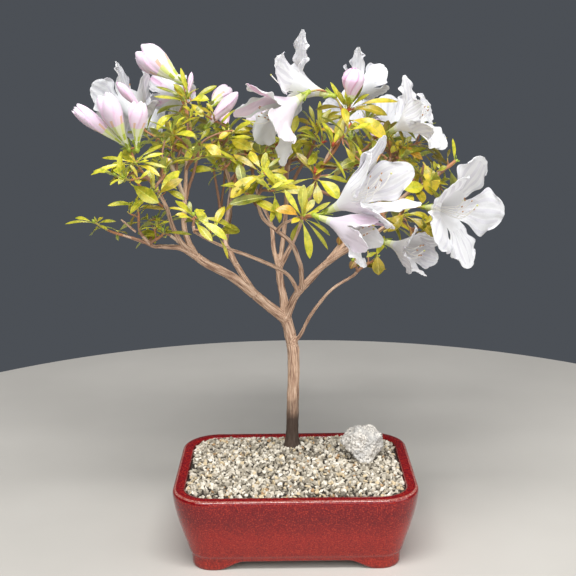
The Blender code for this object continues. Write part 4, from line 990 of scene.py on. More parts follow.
def corolla(bloom, rng):
    """The sheet of an open flower: points, faces, and the lobe, row and column of each face."""
    base = np.array(bloom.base, dtype=float)
    axis, side, top = flower_frame(bloom.azimuth, bloom.elevation)
    turn = math.radians(bloom.turn)
    lines = [centre_line(bloom, lobe) for lobe in range(LOBES)]
    across = np.linspace(-1, 1, LOBE_COLUMNS + 1)
    total = LOBES * LOBE_COLUMNS
    points = []
    for row in range(FUNNEL_ROWS + 1):
        for column in range(total):
            lobe, step = divmod(column, LOBE_COLUMNS)
            u = across[step]
            other = (lobe + (1 if u > 0 else -1)) % LOBES
            share = 0.25 * (1 - math.cos(math.pi * u))
            values = []
            for which in (lobe, other):
                distance, height, radius, _ = lines[which]
                at = distance[0] * (1 - row / FUNNEL_ROWS)
                values.append((np.interp(at, distance, height), np.interp(at, distance, radius)))
            height = values[0][0] * (1 - share) + values[1][0] * share
            radius = values[0][1] * (1 - share) + values[1][1] * share
            radius *= 1 - 0.05 * share * row / FUNNEL_ROWS
            angle = turn + FIFTH * (lobe + u / 2)
            points.append(base + axis * height + (top * math.cos(angle) + side * math.sin(angle)) * radius)
    near = [min(bloom.spreads[lobe], bloom.spreads[lobe - 1], bloom.spreads[(lobe + 1) % LOBES])
            for lobe in range(LOBES)]
    lap = rng.choice((-1, 1))
    for lobe in range(LOBES):
        distance, height, radius, slope = lines[lobe]
        reach = distance[-1]
        angle = turn + FIFTH * lobe
        out = top * math.cos(angle) + side * math.sin(angle)
        flat = side * math.cos(angle) - top * math.sin(angle)
        room = bloom.mouth + bloom.length * PETAL_WIDEST * math.sin(math.radians(near[lobe]))
        widest = min(PETAL_BREADTH * bloom.length, PETAL_OVERLAP * room * math.sin(FIFTH / 2))
        first = bloom.mouth * math.sin(FIFTH / 2)
        sag = bloom.mouth * (1 - math.cos(FIFTH / 2)) * 0.95
        phases = rng.uniform(0, 6.28), rng.uniform(0, 6.28)
        waves = rng.uniform(1.5, 2.3)
        loose = min(1.0, 0.15 + bloom.spreads[lobe] / 30.0)
        for row in range(1, LOBE_ROWS + 1):
            v = row / LOBE_ROWS
            at = reach * v * (1 - TIP_ROUND * np.abs(across) ** 2.4 * v * v)
            where_h = np.interp(at, distance, height)
            where_r = np.interp(at, distance, radius)
            lean = np.interp(at, distance, slope) * ease(at / 8.0)
            width = (first + (widest - first) * ease(v / PETAL_WIDEST)) * (1 - 0.3 * ease((v - 0.55) / 0.45))
            hollow = sag * (1 - ease(v / 0.6)) * across ** 2 - 0.05 * width * across ** 2 * ease(v / 0.6)
            edge = np.abs(across) ** 2.5 * ease(v / 0.4) * RUFFLE * loose
            phase = np.where(across < 0, phases[0], phases[1])
            hollow += edge * np.sin(2 * math.pi * waves * v + phase)
            hollow += lap * across * width * LAP * ease(v / 0.3)
            hollow += RIBS * np.cos(5 * math.pi * across) * ease(v / 0.25)
            hollow += 0.6 * np.exp(-(across / 0.14) ** 2) * ease(v / 0.2)
            spots = [Vector((far / CRINKLE_SIZE * 0.6, x / CRINKLE_SIZE * 1.6, phases[0] * 9 + lobe))
                     for far, x in zip(at, across * width)]
            hollow += CRINKLE * loose * ease(v / 0.3) * np.array([noise.noise(spot) for spot in spots])
            shift = np.sin(across * math.pi / 4) / math.sin(math.pi / 4) * width
            twist = math.radians(bloom.twists[lobe]) * ease(v / 0.3)
            for j in range(LOBE_COLUMNS + 1):
                inward = axis * math.sin(lean[j]) - out * math.cos(lean[j])
                points.append(base + axis * where_h[j] + out * where_r[j]
                              + (flat * math.cos(twist) + inward * math.sin(twist)) * shift[j]
                              + (inward * math.cos(twist) - flat * math.sin(twist)) * hollow[j])
    grids = []
    sheet = (FUNNEL_ROWS + 1) * total
    for lobe in range(LOBES):
        funnel = (np.arange(FUNNEL_ROWS + 1)[:, None] * total
                  + (lobe * LOBE_COLUMNS + np.arange(LOBE_COLUMNS + 1))[None, :] % total)
        free = (sheet + (lobe * LOBE_ROWS + np.arange(LOBE_ROWS))[:, None] * (LOBE_COLUMNS + 1)
                + np.arange(LOBE_COLUMNS + 1)[None, :])
        grids.append(np.concatenate((funnel, free)))
    return np.array(points), grids


print("rows and columns of a lobe", LOBE_ROWS, LOBE_COLUMNS)

# %% [markdown]
# A sheet has no inside, and it would vanish edge on. A Solidify modifier could close it. Here each
# point is copied a little inwards instead, so that each face still knows its lobe, row and column.

# %% Petals with two sides
PETAL_SHEET = 0.35


def thicken(points, grids, thickness):
    """Closes a sheet into a thin solid: an outer and an inner face, joined along every free edge."""
    outer, keys = [], []
    for lobe, grid in enumerate(grids):
        corners = grid[:-1, :-1], grid[:-1, 1:], grid[1:, 1:], grid[1:, :-1]
        outer.append(np.stack(corners, -1).reshape(-1, 4))
        row, column = np.meshgrid(np.arange(grid.shape[0] - 1), np.arange(grid.shape[1] - 1), indexing="ij")
        keys.append(np.stack((np.full(row.size, lobe), row.ravel(), column.ravel()), -1))
    outer = np.concatenate(outer)
    keys = np.concatenate(keys)
    normals = np.zeros_like(points)
    crossing = np.cross(points[outer[:, 2]] - points[outer[:, 0]], points[outer[:, 3]] - points[outer[:, 1]])
    for corner in range(4):
        np.add.at(normals, outer[:, corner], crossing)
    normals /= np.linalg.norm(normals, axis=1)[:, None] + 1e-9
    count = len(points)
    both = np.concatenate((points, points - normals * thickness))
    edges = np.concatenate([outer[:, [i, (i + 1) % 4]] for i in range(4)])
    owners = np.concatenate([np.arange(len(outer))] * 4)
    codes = edges[:, 0] * count + edges[:, 1]
    mirrored = edges[:, 1] * count + edges[:, 0]
    free = ~np.isin(codes, mirrored)
    start, end = edges[free, 0], edges[free, 1]
    rims = np.stack((end, start, start + count, end + count), -1)
    faces = np.concatenate((outer, outer[:, ::-1] + count, rims))
    side = np.concatenate((np.zeros(len(outer), int), np.ones(len(outer), int), np.ones(len(rims), int)))
    return both, faces, np.concatenate((keys, keys, keys[owners[free]])), side


print("petals are", PETAL_SHEET, "mm thick")

# %% [markdown]
# Petal colour runs along each lobe, from yellow-green at the funnel's foot to white or pink at the
# edge, and a deeper stripe marks the outside of the coloured ones. It is dealt out row by row as
# plain colours, light steps apart.

# %% Petal tints
PETAL_TONES = (("white", "#E8E7EB"), ("snow", "#E2E0E4"), ("blush", "#EAD7E5"), ("shell_pink", "#E7C9DE"),
               ("pink", "#DDAECB"), ("rose", "#CB7FAA"), ("cream", "#E4E5C8"), ("pale_lime", "#D6DC8E"),
               ("lime", "#BCC94B"), ("peach", "#E3BDA4"), ("vein", "#D2CFD7"))
WHITE, SNOW, BLUSH, SHELL, PINK, ROSE, CREAM, PALE_LIME, LIME, PEACH, VEIN = range(len(PETAL_TONES))
MIDDLE = (LOBE_COLUMNS - 1) / 2


def petal_slots(tint, keys, side):
    """The tone of each face of a corolla, from its lobe, row, column and side."""
    lobe, row, column = keys.T
    off = np.abs(column - MIDDLE)
    free = row - FUNNEL_ROWS
    slots = np.where(lobe % 2 == 0, SNOW, WHITE)
    slots = np.where((column % 3 == 1) & (free > 1) & (free < LOBE_ROWS - 2), VEIN, slots)
    if tint == "blush":
        slots = np.where(side == 0, BLUSH, WHITE)
        slots = np.where((lobe < 2) & (off < 4), SHELL, slots)
        slots = np.where((lobe == 0) & (off < 2) & (free > 2), PINK, slots)
    if tint == "pink":
        slots = np.where(side == 0, SHELL, BLUSH)
        slots = np.where((side == 0) & (off < 3.6), PINK, slots)
        slots = np.where((side == 0) & (off < 0.8) & (free < LOBE_ROWS - 3), ROSE, slots)
    if tint == "striped":
        slots = np.where((off < 1.6) & (lobe % 2 == 0), SHELL, slots)
        slots = np.where((off < 0.8) & (lobe % 2 == 0) & (free > 0), PINK, slots)
    foot = np.where(row < 4, CREAM, slots)
    foot = np.where(row < 3, PALE_LIME, foot)
    return np.where(row < 1, LIME, foot)


print("petal tones", len(PETAL_TONES))

# %% [markdown]
# ## Buds
# In a closed azalea bud the lobes are rolled round one another like an umbrella. So a bud is a
# spindle whose radius climbs a little over each fifth of a turn and then drops by a step, and the
# steps wind round it towards the tip.

# %% A rolled bud
BUD_ROWS = 26
BUD_COLUMNS = 60
BUD_STEP = 0.13
BUD_WIND = 0.22
BUD_PROFILE = ((0.0, 0.12, 0.3, 0.5, 0.66, 0.8, 0.9, 0.97, 1.0),
               (0.2, 0.34, 0.6, 0.88, 1.0, 0.86, 0.6, 0.3, 0.04))
HALF_OPEN_PROFILE = ((0.0, 0.1, 0.25, 0.45, 0.6, 0.75, 0.87, 0.95, 1.0),
                     (0.15, 0.2, 0.36, 0.68, 0.9, 1.0, 0.94, 0.78, 0.6))
HALF_OPEN = 12.0
NOTCH = 0.09
SUNKEN = 4.0


def rolled_bud(bud, profile=BUD_PROFILE, notch=0.0):
    """A closed flower, with the place of each face along it and across its lobe."""
    axis = np.array(aim(bud.azimuth, bud.elevation))
    side = np.array(Vector(axis).orthogonal().normalized())
    top = np.cross(side, axis)
    heights = (1 - np.cos(np.linspace(0, math.pi, BUD_ROWS))) / 2
    angles = np.arange(BUD_COLUMNS) * 2 * math.pi / BUD_COLUMNS
    turns = angles[None, :] + 2 * math.pi * BUD_WIND * heights[:, None]
    fold = (angles * LOBES / (2 * math.pi) % 1.0)[None, :]
    radii = np.interp(heights, *profile)[:, None] * bud.breadth / 2
    radii = np.maximum(radii, 0.5) * (1 - BUD_STEP * (1 - fold) * np.sin(math.pi * heights[:, None] * 0.9))
    ends = 1 - notch * ease((heights[:, None] - 0.5) / 0.5) * (1 - np.sin(math.pi * fold))
    points = (np.array(bud.base, dtype=float) + axis * (heights[:, None] * ends * bud.length)[..., None]
              + radii[..., None] * (top * np.cos(turns)[..., None] + side * np.sin(turns)[..., None]))
    faces = grid_faces(BUD_ROWS, BUD_COLUMNS, around=True)
    points = points.reshape(-1, 3)
    ring = np.arange(BUD_COLUMNS)
    lids = fan(ring, len(points), flip=True), fan(ring + (BUD_ROWS - 1) * BUD_COLUMNS, len(points) + 1)
    points = np.concatenate((points, points[:BUD_COLUMNS].mean(0)[None],
                             points[-BUD_COLUMNS:].mean(0)[None] - axis * SUNKEN * (notch > 0)))
    row, column = np.meshgrid(np.arange(BUD_ROWS - 1), np.arange(BUD_COLUMNS), indexing="ij")
    place = np.concatenate((row.ravel(), np.zeros(BUD_COLUMNS, int), np.full(BUD_COLUMNS, BUD_ROWS)))
    cross = np.concatenate((column.ravel(), np.zeros(BUD_COLUMNS, int), np.zeros(BUD_COLUMNS, int)))
    return (points, np.concatenate((faces, *lids))), place / BUD_ROWS, cross * LOBES / BUD_COLUMNS % 1.0


def half_open(bloom):
    """A flower whose lobes still stand rolled together, as one blunt bud."""
    whole = Bud(bloom.base, bloom.azimuth, bloom.elevation, FUNNEL_LENGTH + bloom.length,
                2 * bloom.mouth + 3.0, bloom.tint)
    return rolled_bud(whole, HALF_OPEN_PROFILE, NOTCH)


def bud_slots(tint, place, fold, opening=False):
    """The tone of each face of a bud."""
    edge, flank, stripe = {"blush": (BLUSH, BLUSH, SHELL), "pink": (BLUSH, SHELL, PINK),
                           "rose": (BLUSH, SHELL, PINK)}[tint]
    slots = np.where(fold > 0.4, flank, edge)
    slots = np.where(fold > 0.8, stripe, slots)
    if tint == "rose":
        slots = np.where((place > 0.84) & (fold > 0.3), ROSE, slots)
    if opening:
        middle = np.abs(fold - 0.5)
        slots = np.where((place < 0.52) & (middle < 0.12), PEACH, slots)
        slots = np.where(place < 0.44, np.where(middle < 0.24, PALE_LIME, CREAM), slots)
        slots = np.where((place < 0.32) & (middle < 0.3), LIME, slots)
    slots = np.where(place < 0.24, CREAM, slots)
    slots = np.where(place < 0.16, PALE_LIME, slots)
    return np.where(place < 0.09, LIME, slots)


print("rows and columns of a bud", BUD_ROWS, BUD_COLUMNS)

# %% [markdown]
# ## Leaves
# An azalea leaf is a slim oval on a short stalk, folded a little along its midrib, with a sharp
# tip that droops. Each is a closed blade: six points across its top, three beneath, and a narrow
# strip down the middle for the pale midrib.

# %% A leaf
Blade = namedtuple("Blade", "root way upper length breadth")
LEAF_DROOP = 0.12
LEAF_ARCH = (0.03, 0.12)
LEAF_FOLD = 0.14
LEAF_RIPPLE = 0.035
LEAF_WIDEST = 0.52
LEAF_SHEET = 0.5
STALK = 0.09
LEAF_ACROSS = np.array((-1.0, -0.55, -0.07, 0.07, 0.55, 1.0, 0.55, 0.0, -0.55))
LEAF_UNDER = np.array((0, 0, 0, 0, 0, 0, 1, 1, 1))
LEAF_ALONG = np.array((0.0, 0.07, 0.14, 0.26, 0.4, 0.54, 0.68, 0.81, 0.91, 0.97, 1.0))


def leaf_mesh(blade, rng, arch=None):
    """A fine leaf: its shape, and for each face 0 on top, 1 on the midrib and stalk, 2 beneath."""
    chord = np.array(blade.way) * blade.length
    if arch is None:
        chord -= np.array(blade.upper.normalized()) * blade.length * LEAF_DROOP * rng.uniform(0.5, 1.6)
        arch = rng.uniform(*LEAF_ARCH)
    length = np.linalg.norm(chord)
    way = chord / length
    side = np.cross(way, np.array(blade.upper))
    side /= np.linalg.norm(side)
    upper = np.cross(side, way)
    t = LEAF_ALONG
    share = np.clip((t - STALK) / (1 - STALK), 0, 1)
    outline = np.sin(math.pi * share ** 1.45) ** 0.8
    outline = np.maximum(outline, np.where(t < 0.5, 0.09, 0.012))
    half = blade.breadth / 2 * outline
    bend = rng.uniform(-0.05, 0.05) * length
    wave = rng.uniform(0, 6.28)
    waves = np.sin(9 * t[:, None] + wave + LEAF_ACROSS[None, :])
    ripple = LEAF_RIPPLE * blade.breadth * waves * np.abs(LEAF_ACROSS)
    lift = LEAF_FOLD * rng.uniform(0.4, 1.5) * blade.breadth * outline[:, None] * np.abs(LEAF_ACROSS)[None, :]
    sheet = np.where(t < STALK, 0.9, LEAF_SHEET)[:, None] * (1 - LEAF_ACROSS ** 2)[None, :]
    rise = lift + ripple * outline[:, None] + np.where(LEAF_UNDER, -0.6, 0.4)[None, :] * sheet
    aside = LEAF_ACROSS[None, :] * half[:, None] + (bend * np.sin(math.pi * t))[:, None]
    points = (np.array(blade.root) + way * (length * t)[:, None, None]
              + upper * (rise + (arch * length * np.sin(math.pi * t ** 0.9))[:, None])[..., None]
              + side * aside[..., None])
    stations, ring = len(t), len(LEAF_ACROSS)
    faces = grid_faces(stations, ring, around=True)[:, ::-1]
    kinds = np.tile(np.array((0, 0, 1, 0, 0, 2, 2, 2, 2)), stations - 1)
    kinds[:2 * ring] = 1
    fans = []
    for first, flip in ((0, False), ((stations - 1) * ring, True)):
        for i in range(1, ring - 1):
            corner = (first, first + i, first + i + 1)
            corner = corner[::-1] if flip else corner
            fans.append((*corner, corner[2]))
    kinds = np.concatenate((kinds, np.ones(len(fans), int)))
    return (points.reshape(-1, 3), np.concatenate((faces, fans))), kinds


print("points of a leaf", len(LEAF_ALONG) * len(LEAF_ACROSS))

# %% [markdown]
# The rule by which a shoot grows needs only a leaf's outline, to keep it clear of its neighbours.
# That is a blade of eight triangles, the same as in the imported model.

# %% The space that a leaf takes
LEAF_THICKNESS = 0.8
LEAF_ROOM = 0.6
BLADE_FACES = [(0, 2, 4), (2, 1, 4), (1, 3, 4), (3, 0, 4), (2, 0, 5), (1, 2, 5), (3, 1, 5), (0, 3, 5)]


def blade_points(blade):
    """The six points of a leaf's outline."""
    side = blade.way.cross(blade.upper).normalized()
    upper = side.cross(blade.way).normalized()
    middle = blade.root + blade.way * blade.length * LEAF_WIDEST
    lift = upper * blade.breadth * LEAF_FOLD
    return [blade.root, blade.root + blade.way * blade.length - upper * blade.length * LEAF_DROOP,
            middle + side * blade.breadth / 2 + lift, middle - side * blade.breadth / 2 + lift,
            middle + upper * LEAF_THICKNESS / 2, middle - upper * LEAF_THICKNESS / 2]


def wider_blade(points):
    """The outline with the clearance that a leaf keeps from what is not its own."""
    centre = sum(points, Vector()) / len(points)
    wider = [point + (point - centre).normalized() * LEAF_ROOM for point in points]
    lift = (points[4] - points[5]).normalized() * LEAF_ROOM
    return wider[:4] + [points[4] + lift, points[5] - lift]


def outer_blade(points):
    """The outline without its root, so that leaves may share a node but don't cross."""
    return [points[0].lerp(points[1], 0.3)] + points[1:]


print("faces of a leaf's space", len(BLADE_FACES))

# %% [markdown]
# ## Open places, and the leaves and twigs that show
# Sky shows through the crown in places. Each opening is a circle in the upright plane through the
# crown's middle, as seen from the camera, and no seeded leaf is grown across it. A row of circles
# before the slender bud on the left keeps only the leaves in front of it away.
# Some whorls stand clear in the photograph. Their leaves were measured one by one: root, tip,
# breadth, how far the leaf arches as a share of its length, and its tint. So were the bare twigs that
# carry them.

# %% Where the sky shows
OPENINGS = (
    (-164, 290, 15),
    (-161, 333, 9),
    (-138, 298, 9),
    (-146, 279, 8),
    (-66, 290, 10),
    (-40, 277, 10),
    (-16, 290, 9),
    (0, 318, 9),
    (35, 328, 10),
    (40, 227, 10),
    (143, 314, 12),
)
CLEARINGS = ((-70, 350, 8), (-65, 355, 8), (-60, 360, 8), (-55, 365, 8), (-50, 370, 8))
OPENING_PLANE = 46.0


def in_opening(point):
    """Whether a place, seen from the camera, hides an opening of the crown or the slender bud."""
    sight = Vector(point) - CAMERA_PLACE
    seen = CAMERA_PLACE + sight * ((OPENING_PLANE - CAMERA_PLACE.y) / sight.y)
    circles = OPENINGS + (CLEARINGS if point[1] < OPENING_PLANE else ())
    return any(math.hypot(seen.x - x, seen.z - z) < radius for x, z, radius in circles)


print("openings", len(OPENINGS), "clearings", len(CLEARINGS))

# %% [markdown]
# The leaves that stand clear follow, whorl by whorl.

# %% The table of leaves that show
LEAF_TINTS = ("#CAC238", "#BCAB2E", "#ACA52E", "#828226", "#A69128", "#CEB632", "#DCA23E", "#8A622C")
LIME_LEAF, YELLOW_GREEN, FRESH, DEEP, OLIVE, YELLOW, AMBER, BROWN = range(len(LEAF_TINTS))
SHOWN_LEAVES = {
    "left_low_leaves": (
        (-162, 14, 274, -188, 18, 273, 2.6, .10, FRESH),
        (-163, 14, 274, -181, 26, 277, 3.4, .12, LIME_LEAF),
        (-161, 14, 274, -157, 22, 278, 2.9, .08, YELLOW_GREEN),
        (-160, 14, 273, -143, 4, 277, 3.1, .14, FRESH), (-161, 14, 274, -161, 8, 280, 2.4, .05, LIME_LEAF),
        (-159, 14, 272, -150, 2, 271, 2.3, .10, FRESH), (-125, 2, 288, -148, -4, 291, 4.5, .17, LIME_LEAF),
        (-125, 2, 289, -126, 7, 293, 2.9, .05, FRESH), (-125, 2, 287, -116, 8, 289, 2.1, .10, YELLOW_GREEN),
        (-124, 2, 286, -102, -2, 287, 3.9, .14, OLIVE), (-125, 2, 288, -119, -6, 293, 1.9, .10, FRESH),
        (-120, 16, 274, -139, 22, 270, 1.8, .14, YELLOW_GREEN),
        (-119, 16, 274, -104, 10, 276, 2.1, .16, OLIVE),
        (-121, 16, 273, -112, 6, 258, 6.9, -.06, LIME_LEAF),
        (-119, 16, 274, -120, 20, 281, 2.0, .12, FRESH), (-104, 2, 267, -81, -6, 267, 3.4, .08, FRESH),
        (-104, 2, 267, -110, -4, 275, 3.5, .06, LIME_LEAF), (-103, 2, 268, -101, 8, 272, 2.6, .04, DEEP),
        (-104, 2, 266, -111, 10, 268, 2.1, .10, FRESH),),
    "crossing_shoot_leaves": (
        (-75, -24, 283, -47, -16, 273, 5.1, .12, FRESH),
        (-74, -24, 282, -51, -32, 267, 7.1, .10, LIME_LEAF),
        (-76, -24, 280, -62, -38, 267, 6.5, .10, FRESH), (-78, -24, 286, -81, -19, 296, 3.6, .06, DEEP),
        (-79, -24, 285, -97, -20, 291, 2.6, .12, YELLOW_GREEN),
        (-80, -24, 283, -91, -30, 287, 3.4, .14, YELLOW),
        (-79, -24, 283, -88, -36, 286, 2.8, .10, LIME_LEAF),
        (-59, -24, 269, -51, -28, 251, 2.6, .12, YELLOW_GREEN),
        (-77, -24, 286, -69, -16, 288, 3.0, .10, FRESH),),
    "left_outer_blossom": (
        (-105, 2, 310, -90, -4, 313, 3.4, .12, FRESH), (-106, 2, 310, -124, 6, 309, 2.6, .16, YELLOW_GREEN),
        (-106, 2, 309, -114, -4, 303, 2.7, .08, FRESH), (-104, 2, 307, -93, 8, 302, 2.6, .10, LIME_LEAF),
        (-102, 2, 302, -86, -4, 295, 5.9, .10, FRESH), (-106, 2, 311, -111, 6, 319, 3.4, .05, YELLOW),
        (-105, 2, 311, -104, 10, 318, 3.1, .05, LIME_LEAF), (-106, 2, 298, -118, 4, 295, 1.8, .12, BROWN),
        (-123, -18, 326, -149, -12, 330, 3.4, .12, FRESH),
        (-124, -18, 325, -156, -24, 318, 4.1, .15, LIME_LEAF),
        (-124, -18, 327, -144, -6, 317, 2.8, .22, YELLOW_GREEN),
        (-120, -18, 328, -100, -14, 333, 3.4, .10, LIME_LEAF),
        (-120, -18, 326, -96, -26, 323, 3.0, .16, FRESH), (-121, -18, 329, -102, -4, 339, 3.6, .08, FRESH),
        (-124, -18, 323, -134, -30, 311, 5.8, .10, LIME_LEAF),
        (-122, -18, 324, -101, -32, 317, 4.2, .12, YELLOW),
        (-121, -18, 326, -126, -22, 333, 2.2, .05, YELLOW),
        (-121, -18, 326, -115, -24, 332, 2.2, .05, LIME_LEAF),
        (-121, -18, 326, -129, -26, 329, 2.0, .08, YELLOW),
        (-121, -18, 326, -110, -28, 329, 2.2, .08, LIME_LEAF),),
    "left_top_blossom": (
        (-86, 44, 370, -113, 40, 375, 3.7, .12, FRESH), (-86, 44, 372, -112, 48, 383, 3.4, .10, DEEP),
        (-86, 44, 373, -96, 36, 385, 5.4, .08, FRESH), (-81, 44, 372, -61, 46, 383, 5.6, .10, FRESH),
        (-84, 44, 374, -90, 40, 398, 3.9, .05, LIME_LEAF),
        (-84, 44, 370, -67, 36, 372, 7.3, .10, LIME_LEAF),
        (-84, 44, 369, -72, 34, 358, 6.8, .10, YELLOW_GREEN),
        (-95, 50, 360, -112, 40, 347, 7.3, .18, LIME_LEAF),
        (-100, 50, 359, -90, 54, 343, 8.2, .08, LIME_LEAF), (-88, 50, 342, -113, 54, 340, 3.7, .12, OLIVE),
        (-87, 50, 343, -110, 44, 333, 3.6, .14, FRESH),
        (-88, 50, 342, -97, 56, 328, 7.3, .06, YELLOW_GREEN), (-85, 50, 345, -78, 56, 357, 4.8, .08, FRESH),
        (-86, 50, 346, -102, 58, 354, 4.3, .12, DEEP), (-76, 40, 335, -58, 30, 325, 9.3, .16, YELLOW),
        (-78, 40, 336, -88, 34, 322, 6.9, .10, LIME_LEAF),
        (-75, 40, 336, -43, 44, 316, 3.4, .16, LIME_LEAF), (-49, 40, 345, -60, 36, 340, 5.9, .14, YELLOW),
        (-77, 40, 337, -68, 46, 348, 4.7, .08, FRESH), (-77, 40, 337, -88, 48, 347, 4.2, .08, YELLOW_GREEN),),
    "inner_left_leaves": (
        (-49, 74, 332, -24, 66, 326, 9.1, .20, YELLOW), (-49, 74, 331, -66, 68, 319, 7.5, .12, YELLOW),
        (-50, 74, 334, -43, 80, 349, 6.7, .08, FRESH), (-50, 74, 335, -60, 82, 351, 5.3, .10, LIME_LEAF),
        (-50, 74, 336, -33, 78, 346, 6.3, .12, YELLOW_GREEN), (-51, 74, 334, -72, 80, 328, 4.4, .14, OLIVE),
        (-48, 74, 333, -29, 82, 336, 5.1, .12, FRESH), (-38, 60, 323, -50, 62, 310, 6.9, .10, LIME_LEAF),
        (-44, 60, 327, -33, 66, 314, 6.9, .12, YELLOW_GREEN),),
    "front_rise_leaves": (
        (-23, -16, 316, -48, -26, 299, 11.8, .12, YELLOW), (-24, -16, 317, -46, -8, 331, 5.5, .10, OLIVE),
        (-20, -16, 316, -3, -24, 311, 6.0, .14, LIME_LEAF), (-20, -16, 318, -3, -12, 317, 4.1, .14, OLIVE),
        (-22, -16, 319, -20, -12, 333, 5.0, .06, FRESH), (-21, -16, 319, -9, -10, 328, 3.6, .08, DEEP),
        (-23, -16, 314, -37, -10, 295, 6.6, .10, LIME_LEAF),
        (-23, -16, 319, -33, -4, 333, 6.8, .08, YELLOW_GREEN),),
    "crown_top_blossom": (
        (18, 30, 307, -14, 26, 297, 4.5, .16, FRESH), (21, 30, 306, 39, 18, 291, 11.3, .10, LIME_LEAF),
        (19, 30, 310, 4, 36, 328, 6.0, .06, OLIVE), (23, 30, 308, 47, 32, 303, 5.2, .14, FRESH),
        (32, 30, 310, 59, 38, 323, 9.6, .08, DEEP), (20, 30, 305, 11, 24, 290, 7.0, .08, FRESH),
        (21, 30, 304, 22, 20, 287, 8.3, .06, YELLOW_GREEN), (46, 46, 363, 33, 42, 385, 4.1, .05, LIME_LEAF),
        (46, 46, 364, 38, 36, 378, 3.9, .05, FRESH), (46, 46, 360, 39, 38, 337, 8.5, .08, YELLOW_GREEN),
        (49, 46, 353, 79, 36, 338, 14.4, .26, YELLOW), (51, 46, 362, 81, 48, 357, 9.0, .16, OLIVE),
        (53, 46, 364, 90, 50, 368, 5.3, .08, YELLOW), (49, 46, 364, 60, 40, 383, 4.1, .04, DEEP),
        (50, 46, 363, 65, 40, 375, 3.9, .06, FRESH), (45, 46, 363, 21, 52, 362, 5.1, .10, OLIVE),
        (49, 46, 354, 68, 52, 335, 4.4, .12, FRESH), (51, 46, 349, 62, 52, 323, 4.1, .04, FRESH),
        (47, 46, 364, 49, 38, 373, 4.6, .04, FRESH), (46, 46, 364, 42, 40, 372, 3.4, .04, LIME_LEAF),
        (44, 46, 361, 30, 54, 354, 5.1, .10, YELLOW_GREEN), (74, 34, 329, 58, 36, 316, 5.7, .16, OLIVE),
        (75, 34, 326, 61, 30, 313, 7.5, .12, AMBER), (65, 34, 315, 48, 28, 291, 10.9, .10, LIME_LEAF),
        (64, 34, 316, 46, 40, 302, 5.0, .12, FRESH), (68, 38, 339, 70, 34, 329, 5.7, .06, FRESH),
        (67, 38, 337, 77, 40, 327, 5.5, .06, LIME_LEAF), (79, 38, 321, 67, 32, 308, 5.5, .10, OLIVE),),
    "centre_top_leaves": (
        (21, 60, 346, 4, 64, 354, 4.7, .12, OLIVE), (23, 60, 346, 45, 62, 356, 5.3, .10, YELLOW_GREEN),
        (19, 60, 341, -3, 54, 321, 8.6, .12, FRESH), (23, 60, 344, 37, 50, 343, 5.5, .18, AMBER),
        (20, 60, 341, 13, 68, 320, 7.2, .08, LIME_LEAF), (21, 60, 347, 16, 66, 365, 3.8, .05, FRESH),
        (22, 60, 347, 25, 64, 369, 4.0, .05, LIME_LEAF), (21, 60, 345, 5, 54, 344, 5.2, .18, YELLOW_GREEN),
        (24, 60, 344, 43, 64, 335, 4.3, .14, OLIVE), (23, 60, 346, 35, 68, 362, 4.3, .06, FRESH),),
    "right_upper_blossom": (
        (96, 66, 330, 112, 60, 325, 4.9, .10, DEEP), (93, 66, 330, 112, 54, 319, 6.9, .14, AMBER),
        (94, 66, 331, 85, 56, 325, 5.6, .08, YELLOW), (96, 66, 330, 104, 68, 338, 4.3, .06, FRESH),),
    "right_tip_leaves": (
        (111, 46, 318, 118, 36, 291, 15.3, .16, YELLOW), (110, 46, 313, 102, 52, 297, 7.6, .08, OLIVE),
        (123, 46, 310, 131, 42, 314, 4.7, .08, FRESH), (121, 46, 309, 120, 44, 319, 3.2, .02, FRESH),
        (126, 46, 311, 123, 50, 316, 2.9, .02, LIME_LEAF),),
    "right_low_blossom": (
        (91, 4, 280, 77, -4, 267, 11.0, .24, OLIVE), (92, 4, 278, 114, -2, 262, 8.9, .12, OLIVE),
        (91, 4, 280, 113, 8, 273, 6.1, .16, YELLOW_GREEN), (93, 4, 274, 106, -4, 242, 7.1, .06, BROWN),
        (89, 4, 279, 87, 0, 289, 6.4, .06, BROWN), (90, 4, 280, 97, 8, 289, 4.8, .06, FRESH),),
    "right_shoot_leaves": (
        (69, 4, 248, 70, -2, 231, 10.5, .06, OLIVE), (54, 4, 245, 47, 0, 236, 6.1, .10, BROWN),
        (41, 4, 266, 38, 4, 255, 5.3, .06, BROWN), (70, 4, 249, 60, -2, 246, 4.0, .06, FRESH),),
    "front_blossom": (
        (7, -42, 284, 13, -46, 254, 6.4, .06, LIME_LEAF), (10, -42, 283, 27, -46, 261, 3.3, .08, FRESH),
        (10, -42, 284, 29, -36, 270, 3.5, .10, LIME_LEAF), (10, -42, 287, 29, -48, 298, 4.1, .06, FRESH),
        (9, -42, 287, 17, -38, 299, 5.6, .05, YELLOW_GREEN), (8, -42, 287, 9, -36, 310, 7.4, .06, FRESH),
        (7, -42, 286, -6, -40, 307, 5.0, .08, LIME_LEAF), (5, -42, 285, -13, -52, 293, 8.8, .22, AMBER),
        (6, -42, 284, -1, -54, 283, 5.0, .16, YELLOW), (7, -42, 284, -1, -34, 266, 4.1, .12, FRESH),
        (9, -42, 287, 20, -54, 292, 3.3, .05, LIME_LEAF),),
}
print("leaves that show", sum(len(rows) for rows in SHOWN_LEAVES.values()))

# %% [markdown]
# The bare twigs come next: the mass that each belongs to, its thickness at both ends in millimetres,
# its skin, and the places that it passes.

